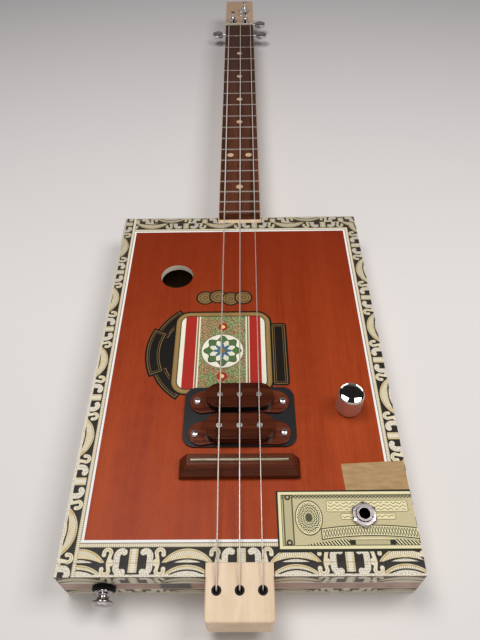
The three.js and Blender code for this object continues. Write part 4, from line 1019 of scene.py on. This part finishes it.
def rounded(node, width, material, body="root", steps=2):
    """A copy of a CAD node with bevelled edges, which stands for it."""
    bm = bmesh.new()
    bm.from_mesh(nodes[node].data)
    bmesh.ops.remove_doubles(bm, verts=bm.verts, dist=0.002 * MM)
    bmesh.ops.dissolve_limit(bm, angle_limit=math.radians(1), verts=bm.verts, edges=bm.edges)
    edges = [e for e in bm.edges if len(e.link_faces) == 2 and e.calc_face_angle(0) > math.radians(35)]
    bmesh.ops.bevel(bm, geom=edges, offset=width * MM, offset_type="OFFSET", affect="EDGES", segments=steps,
                    profile=0.5, material=-1, clamp_overlap=True)
    return new_piece(f"{node}_rounded", bm, material, body, (node,), flat=True)


def dress(material, *names):
    """Gives CAD nodes a material."""
    for name in names:
        slots = nodes[name].data.materials
        slots.clear()
        slots.append(material)


for node, width, material, slot in ROUNDED_BOARDS:
    rounded(node, width, material)
for unit in (1, 2):
    rounded(f"pickup_base_{unit}", 0.35, base_wood.material)
    rounded(f"pickup_cover_{unit}", 0.45, cover_wood.material, steps=3)
    rounded(f"pickup_coil_{unit}", 0.3, coil_tape)
    rounded(f"pickup_poles_{unit}", 0.45, pole_steel, steps=3)
for tuner in TUNERS:
    rounded(f"tuner_{tuner}_housing", 0.25, chrome)
    rounded(f"tuner_{tuner}_post", 0.15, chrome, f"{tuner}_post")
    rounded(f"tuner_{tuner}_button", 0.2, chrome, f"{tuner}_key")
rounded("output_jack", 0.3, nut_chrome, steps=3)
dress(saddle_metal, "saddle_wire")
dress(fret_metal.material, *[name for name in nodes if name.startswith("fret_")])
dress(plated, "volume_pot", "pot_shaft")

# %% [markdown]
# ## Turned pieces
# Knob, strap button, screws, washers and ferrules were all made on a lathe, and spin does the same: a
# profile of radius and height goes once round an axis. A profile that starts and ends on the axis gives a
# closed body, and so does one that returns to its start.

# %% Turned pieces
UP = (0, 0, 1)
DOWN = (0, 0, -1)


def aimed(bm, place, axis):
    """Turns a bmesh's Z axis to another axis, and moves it to a place."""
    turn = Vector(UP).rotation_difference(Vector(axis)).to_matrix()
    bmesh.ops.rotate(bm, verts=bm.verts, cent=(0, 0, 0), matrix=turn)
    bmesh.ops.translate(bm, verts=bm.verts, vec=Vector(place) * MM)
    return bm


def turned(profile, place, axis=UP, steps=48, loop=False):
    """A bmesh of a profile of (radius, height) spun round an axis through a place."""
    bm = bmesh.new()
    verts = [bm.verts.new((radius * MM, 0, height * MM)) for radius, height in profile]
    pairs = list(zip(verts, verts[1:])) + ([(verts[-1], verts[0])] if loop else [])
    edges = [bm.edges.new(pair) for pair in pairs]
    bmesh.ops.spin(bm, geom=verts + edges, cent=(0, 0, 0), axis=UP, angle=2 * math.pi, steps=steps,
                   use_merge=True)
    bmesh.ops.remove_doubles(bm, verts=bm.verts, dist=0.001 * MM)
    return aimed(bm, place, axis)


def cross_cutter(place, axis, length, width, depth, turn):
    """A cross for a screw's recess: two crossed bars, tapered towards their foot."""
    bm = bmesh.new()
    for quarter in (0, 1):
        made = bmesh.ops.create_cube(bm, size=1.0)["verts"]
        bmesh.ops.scale(bm, vec=Vector((length, width, 2 * depth)) * MM, verts=made)
        spin = Matrix.Rotation(turn + quarter * math.pi / 2, 3, "Z")
        bmesh.ops.rotate(bm, verts=made, cent=(0, 0, 0), matrix=spin)
        low = [v for v in made if v.co.z < 0]
        bmesh.ops.scale(bm, vec=(0.45, 0.45, 1), verts=low)
    return aimed(bm, place, axis)


def screw(name, place, axis, radius, rise, shank, material=chrome, turn=0.4):
    """A domed screw head that rests at a place, with its shank behind it."""
    turns = [step * math.pi / 12 for step in range(6)]
    dome = [(radius * math.cos(angle), rise * 0.35 + rise * 0.65 * math.sin(angle)) for angle in turns]
    profile = [(0, -shank), (radius * 0.3, -shank + radius * 0.5), (radius * 0.45, -shank + radius),
               (radius * 0.45, 0), (radius, 0.0)] + dome + [(0, rise)]
    top = Vector(place) + Vector(axis) * (rise + 0.02)
    recess = cross_cutter(top, axis, radius * 1.25, radius * 0.3, rise * 0.75, turn)
    return new_piece(name, carved(turned(profile, place, axis, 32), recess), material)


print("a lathe and a screw")

# %% [markdown]
# ## Volume knob
# The knob is a plain chromed cap with a shallow dome and a turned ring round it, on a shaft that ends
# inside. It rides on the volume body, so it turns with the pot's shaft. A small set screw in its side shows
# which way it points.

# %% Volume knob
SET_SCREW = (*KNOB, 40.6)
SET_SCREW_AIM = (0.5, 0.866, 0)
DOME_TOP = 52.0
DOME_DROP = 0.9
DOME_RADII = (0, 1.2, 2.4, 3.4, 4.3, 5.1, 5.8, 6.4, 6.95)

dome = [(radius, DOME_TOP - DOME_DROP * (radius / DOME_RADII[-1]) ** 2.6) for radius in DOME_RADII]
ring = [(7.08, 50.9), (7.2, 50.86), (7.3, 51.0), (7.42, 51.22), (7.65, 51.3), (7.95, 51.18), (8.22, 50.9),
        (8.42, 50.45), (8.5, 49.9)]
skirt = [(8.5, 35.5), (8.35, 35.15), (8.0, 35.0), (6.7, 35.0), (6.7, 40.0), (3.15, 40.0), (3.15, 48.3),
         (0, 48.3)]
hole = turned([(0, 6.0), (1.7, 6.0), (1.7, 9.5), (0, 9.5)], SET_SCREW, SET_SCREW_AIM, 24)
bm = carved(turned(dome + ring + skirt, (*KNOB, 0), steps=96), hole)
new_piece("volume_knob_cap", bm, knob.material, "volume", ("volume_knob",), flat=True)
bm = turned([(0, 3.3), (1.55, 3.3), (1.55, 7.7), (1.3, 7.9), (0.8, 7.9), (0.7, 7.2), (0, 7.2)], SET_SCREW,
            SET_SCREW_AIM, 24)
new_piece("knob_set_screw", bm, plated, "volume")
print("knob at", KNOB)

# %% [markdown]
# ## Output jack
# A hexagon nut holds the jack, with a washer under it. A real nut has its corners cut by a cone. A ring of
# 96 points follows the hexagon at each height but never goes past the cone there, so stacking a few rings
# gives both.

# %% Output jack
NUT_FLATS = 14.0
NUT_TURN = math.radians(30)
NUT_RINGS = ((34.36, 7.2, 4.95), (34.7, 7.75, 4.8), (35.75, 7.75, 4.8), (36.3, 6.6, 4.8), (36.36, 5.7, 5.0))

bm = bmesh.new()
rings = []
for height, limit, inner in NUT_RINGS:
    for reach in (limit, inner):
        circle = bmesh.ops.create_circle(bm, cap_ends=False, radius=1.0, segments=96)["verts"]
        for vert in circle:
            angle = math.atan2(vert.co.y, vert.co.x)
            lean = (angle - NUT_TURN) % (math.pi / 3) - math.pi / 6
            radius = min(NUT_FLATS / 2 / math.cos(lean), reach) if reach == limit else reach
            x = radius * math.cos(angle) + JACK[0]
            y = radius * math.sin(angle) + JACK[1]
            vert.co = Vector((x, y, height)) * MM
        rings.append({e for v in circle for e in v.link_edges})
order = rings[0::2] + rings[1::2][::-1]
for one, two in zip(order, order[1:] + order[:1]):
    bmesh.ops.bridge_loops(bm, edges=list(one | two))
new_piece("jack_hex_nut", bm, nut_chrome, stands_for=("jack_nut",), smooth=24, flat=True)
washer = [(4.9, 34.11), (6.5, 34.11), (6.6, 34.2), (6.5, 34.3), (4.9, 34.31)]
new_piece("jack_washer", turned(washer, (*JACK, 0), steps=64, loop=True), nut_chrome)
print("jack nut", NUT_FLATS, "mm across its flats")

# %% [markdown]
# ## Strap button
# The button is a small bell on its side. Its waist holds the strap, a felt washer keeps it off the paper,
# and a wood screw with a domed head holds both on the tail wall.

# %% Strap button
STRAP_X = -77.8
STRAP_Z = 17.0
TAIL_FACE_Y = -153.65
BELL_FOOT = (STRAP_X, -156.3, STRAP_Z)
SCREW_TOP = (STRAP_X, -163.3, STRAP_Z)
TAILWARD = (0, -1, 0)

bell = [(1.8, 0), (5.2, 0), (5.4, 0.2), (5.4, 0.75), (5.15, 1.15), (4.3, 1.7), (3.65, 2.4), (3.4, 3.2),
        (3.5, 4.0), (3.95, 4.7), (4.9, 5.3), (5.8, 5.6), (6.15, 5.85), (6.2, 6.3), (6.05, 6.75), (5.6, 7.0),
        (4.6, 7.0), (3.7, 6.6), (3.1, 5.9), (1.8, 4.9)]
new_piece("strap_bell", turned(bell, BELL_FOOT, TAILWARD, 64, loop=True), shaded_strap_chrome,
          stands_for=("strap_button",), smooth=60)
post = [(0, -8.4), (0.6, -7.4), (1.5, -6.0), (1.6, 4.6), (3.0, 5.9), (2.8, 6.35), (2.2, 6.7), (1.2, 6.92),
        (0, 6.98)]
bm = carved(turned(post, BELL_FOOT, TAILWARD, 32), cross_cutter(SCREW_TOP, TAILWARD, 3.6, 0.8, 1.3, 0.2))
new_piece("strap_screw", bm, chrome)
soft = [(1.9, 0), (6.4, 0), (6.75, 0.35), (6.8, 1.2), (6.75, 2.2), (6.4, 2.55), (1.9, 2.6)]
bm = turned(soft, (STRAP_X, TAIL_FACE_Y, STRAP_Z), TAILWARD, 72, loop=True)
bmesh.ops.subdivide_edges(bm, edges=bm.edges, cuts=1, use_grid_fill=True)
felt_random = random.Random(7)
for vert in bm.verts:
    if math.hypot(vert.co.x / MM - STRAP_X, vert.co.z / MM - STRAP_Z) > 6.2:
        vert.co += Vector((felt_random.uniform(-1, 0), 0, felt_random.uniform(-1, 1))) * 0.07 * MM
new_piece("felt_washer", bm, felt, stands_for=("strap_felt",), smooth=60)
print("strap button with its felt and screw")

# %% [markdown]
# ## Pickup screws and ferrules
# Four domed screws hold the pickup's bases. Three black rubber ferrules line the holes of the tail block.

# %% Pickup screws and ferrules
PICKUP_SCREWS = ((-28.4, -42.9), (28.8, -43.4), (-29.0, -67.6), (28.7, -66.9))
BASE_TOP = 37.5
FERRULE_XS = (-12.65, 0.0, 12.65)
FERRULE_Y = -160.5

for number, (x, y) in enumerate(PICKUP_SCREWS):
    screw(f"pickup_screw_{number + 1}", (x, y, BASE_TOP), UP, 2.7, 2.2, 3.0, nut_chrome, 0.3 + number)
sleeve = [(1.2, 30.3), (2.7, 30.3), (2.7, 34.1), (2.55, 34.27), (2.2, 34.3), (1.6, 34.12), (1.25, 33.6)]
for number, x in enumerate(FERRULE_XS):
    bm = turned(sleeve, (x, FERRULE_Y, 0), steps=40, loop=True)
    new_piece(f"ferrule_{number + 1}", bm, rubber,
              stands_for=(f"string_ferrule_{number + 1}",))
print(len(PICKUP_SCREWS), "screws and", len(FERRULE_XS), "ferrules")

# %% [markdown]
# ## Fret dots
# Round inlays of pale wood mark the 3rd, 5th, 7th, 9th, 12th and 15th frets. Each sits midway between two
# frets, and frets follow the twelfth-root rule: each one takes an eighteenth or so off the length that is
# left.

# %% Fret dots
NUT_Y = 550.0
SCALE_LENGTH = 635.0
BOARD_TOP = 40.7
DOT_RADIUS = 3.18
DOTS = ((3, 0), (5, 0), (7, 0), (9, 0), (12, -9), (12, 9), (15, 0))


def fret_y(number):
    return NUT_Y - SCALE_LENGTH * (1 - 2 ** (-number / 12))


bm = bmesh.new()
for number, x in DOTS:
    y = (fret_y(number) + fret_y(number - 1)) / 2
    disc = bmesh.ops.create_cone(bm, cap_ends=True, segments=40, radius1=DOT_RADIUS * MM,
                                 radius2=DOT_RADIUS * MM, depth=0.5 * MM)["verts"]
    bmesh.ops.translate(bm, verts=disc, vec=Vector((x, y, BOARD_TOP - 0.2)) * MM)
edges = [e for e in bm.edges if e.calc_face_angle(0) > 1]
bmesh.ops.bevel(bm, geom=edges, offset=0.04 * MM, affect="EDGES", segments=1, profile=0.5, material=-1)
new_piece("fret_dots", bm, dot_wood)
print(len(DOTS), "dots")

# %% [markdown]
# ## Strings
# Each string starts at its ball end under the tail block, comes up through the ferrule, bends over the
# saddle and the nut and winds up its post. A curve with a round bevel is the way to draw wire; it is made a
# mesh at once, so that its place is in its mesh. The low string is wound, so it gets fine wraps in its
# finish.

# %% Strings
SADDLE_Y = -88.5
SADDLE_TOP = 45.0
NUT_TOP = 42.3
BEND_Z = 34.15
BEND_RADIUS = 1.2
BALL_Z = 16.0
POST_WAIST = 2.2
WIND_GAP = 0.3
WIND_Z = 41.5
WIND_PITCH = 1.45
WIND_TURNS = 2
WIND_STEPS = 48
RETAINER_PASS = (3.82, 596.0, 38.6)
STRINGS = (
    ("low", -12.65, -14.0, 0.5, "left", wound_wire), ("middle", 0.0, 1.2, 0.42, "right_far", plain_wire),
    ("high", 12.65, 14.4, 0.3, "right_near", plain_wire),
)


def string_route(hole_x, nut_x, radius, post, retained):
    """The points that a string passes, from its ball end to the last turn on its post."""
    share = (SADDLE_Y - FERRULE_Y) / (NUT_Y - FERRULE_Y)
    over_saddle = SADDLE_TOP + radius + 0.1
    points = [(hole_x, FERRULE_Y, BALL_Z)]
    bend = math.pi / 2 - math.atan2(over_saddle - BEND_Z, SADDLE_Y - FERRULE_Y)
    for step in range(9):
        turn = step / 8 * bend
        points.append((hole_x, FERRULE_Y + BEND_RADIUS * (1 - math.cos(turn)),
                       BEND_Z + BEND_RADIUS * math.sin(turn)))
    points.append((hole_x + (nut_x - hole_x) * share, SADDLE_Y, over_saddle))
    points.append((nut_x, NUT_Y, NUT_TOP + radius + 0.1))
    if retained:
        points.append(RETAINER_PASS)
    wind_radius = POST_WAIST + WIND_GAP + radius
    away = Vector((post[0] - nut_x, post[1] - NUT_Y))
    side = -1 if nut_x < post[0] else 1
    bearing = math.atan2(away.y, away.x) - side * math.asin(wind_radius / away.length)
    start = bearing - side * math.pi / 2
    for step in range(WIND_STEPS * WIND_TURNS + 1):
        turn = start + side * step / WIND_STEPS * 2 * math.pi
        points.append((post[0] + wind_radius * math.cos(turn), post[1] + wind_radius * math.sin(turn),
                       WIND_Z + WIND_GAP + radius + step / WIND_STEPS * WIND_PITCH))
    return points


def wire(name, points, radius):
    """A bmesh of round wire through points."""
    curve = bpy.data.curves.new(name, "CURVE")
    curve.dimensions = "3D"
    curve.bevel_depth = radius * MM
    curve.bevel_resolution = 3
    curve.use_fill_caps = True
    spline = curve.splines.new("POLY")
    spline.points.add(len(points) - 1)
    for point, place in zip(spline.points, points):
        point.co = (*(Vector(place) * MM), 1)
    drawn = bpy.data.objects.new(name, curve)
    bpy.context.scene.collection.objects.link(drawn)
    mesh = bpy.data.meshes.new_from_object(drawn.evaluated_get(bpy.context.evaluated_depsgraph_get()))
    bm = bmesh.new()
    bm.from_mesh(mesh)
    bpy.data.objects.remove(drawn)
    bpy.data.curves.remove(curve)
    bpy.data.meshes.remove(mesh)
    bmesh.ops.remove_doubles(bm, verts=bm.verts, dist=0.001 * MM)
    return bm


ball = [(0.6, -1.5), (1.9, -1.5), (1.9, -0.9), (1.3, -0.5), (1.3, 0.5), (1.9, 0.9), (1.9, 1.5), (0.6, 1.5)]
for name, hole_x, nut_x, radius, tuner, finish in STRINGS:
    route = string_route(hole_x, nut_x, radius, TUNERS[tuner], name == "middle")
    new_piece(f"{name}_string", wire(name, route, radius), finish.material,
              stands_for=(f"string_{name}",), smooth=60)
    bm = turned(ball, (hole_x, FERRULE_Y, BALL_Z), (1, 0, 0), 32, loop=True)
    new_piece(f"{name}_ball_end", bm, brass)
print("three strings")

# %% [markdown]
# ## Pickup lead
# One screened lead runs under the lid, from the pickup's hole past the volume pot to the jack. It is a soft
# wire, so it bends gently through its stops: a Catmull-Rom curve goes through every stop, and its tangent
# there follows the two neighbours. Blending three pairs of points, and then the blends, gives a point of it.

# %% Pickup lead
LEAD_RADIUS = 1.2
LEAD_STOPS = ((24, -43.2, 35.5), (24, -43.2, 29), (28.4, -43.2, 25.4), (41.3, -44.65, 20),
              (58.6, -46.1, 24.5), (58.6, -64.5, 23.3), (60.55, -82.95, 20), (62.5, -119.8, 27.5))


def smooth_route(stops, steps):
    """A centripetal Catmull-Rom curve through all stops."""
    stops = [Vector(stop) for stop in stops]
    row = [stops[0] * 2 - stops[1]] + stops + [stops[-1] * 2 - stops[-2]]
    points = []
    for four in zip(row, row[1:], row[2:], row[3:]):
        times = [0.0]
        for one, two in zip(four, four[1:]):
            times.append(times[-1] + math.sqrt((two - one).length))
        for step in range(steps):
            now = times[1] + (times[2] - times[1]) * step / steps
            blend = list(four)
            for span in (1, 2):
                blend = [one.lerp(two, (now - times[i]) / (times[i + span] - times[i]))
                         for i, (one, two) in enumerate(zip(blend, blend[1:]))]
            points.append(blend[0].lerp(blend[1], (now - times[1]) / (times[2] - times[1])))
    return points + [stops[-1]]


lead_route = smooth_route(LEAD_STOPS, 8)
new_piece("lead_wire", wire("lead_wire", lead_route, LEAD_RADIUS), sheath,
          stands_for=("pickup_lead",), smooth=60)
lead_length = sum((two - one).length for one, two in zip(lead_route, lead_route[1:]))
print("lead of", round(lead_length), "mm")

# %% [markdown]
# ## Head hardware
# A small turned retainer presses the middle string down on the head, because its post stands far from the
# nut. A screw behind each tuner's housing holds its cover.

# %% Head hardware
RETAINER = (2.3, 597.0)
HOUSING_FOOT = 8.9

retainer = [(0, 34.02), (2.2, 34.02), (2.3, 34.3), (1.9, 34.8), (1.0, 35.1), (0.85, 35.6), (0.85, 38.9),
            (1.3, 39.15), (2.5, 39.3), (2.75, 39.6), (2.5, 40.0), (1.4, 40.3), (1.1, 41.2), (1.25, 42.2),
            (1.0, 42.9), (0, 43.1)]
new_piece("string_retainer", turned(retainer, (*RETAINER, 0), steps=40), chrome)
for tuner, post in TUNERS.items():
    screw(f"tuner_{tuner}_cover_screw", (*post, HOUSING_FOOT), DOWN, 2.0, 0.9, 0.6)
print("retainer and three cover screws")

# %% [markdown]
# The visual model has to stay inside the construction's own box.
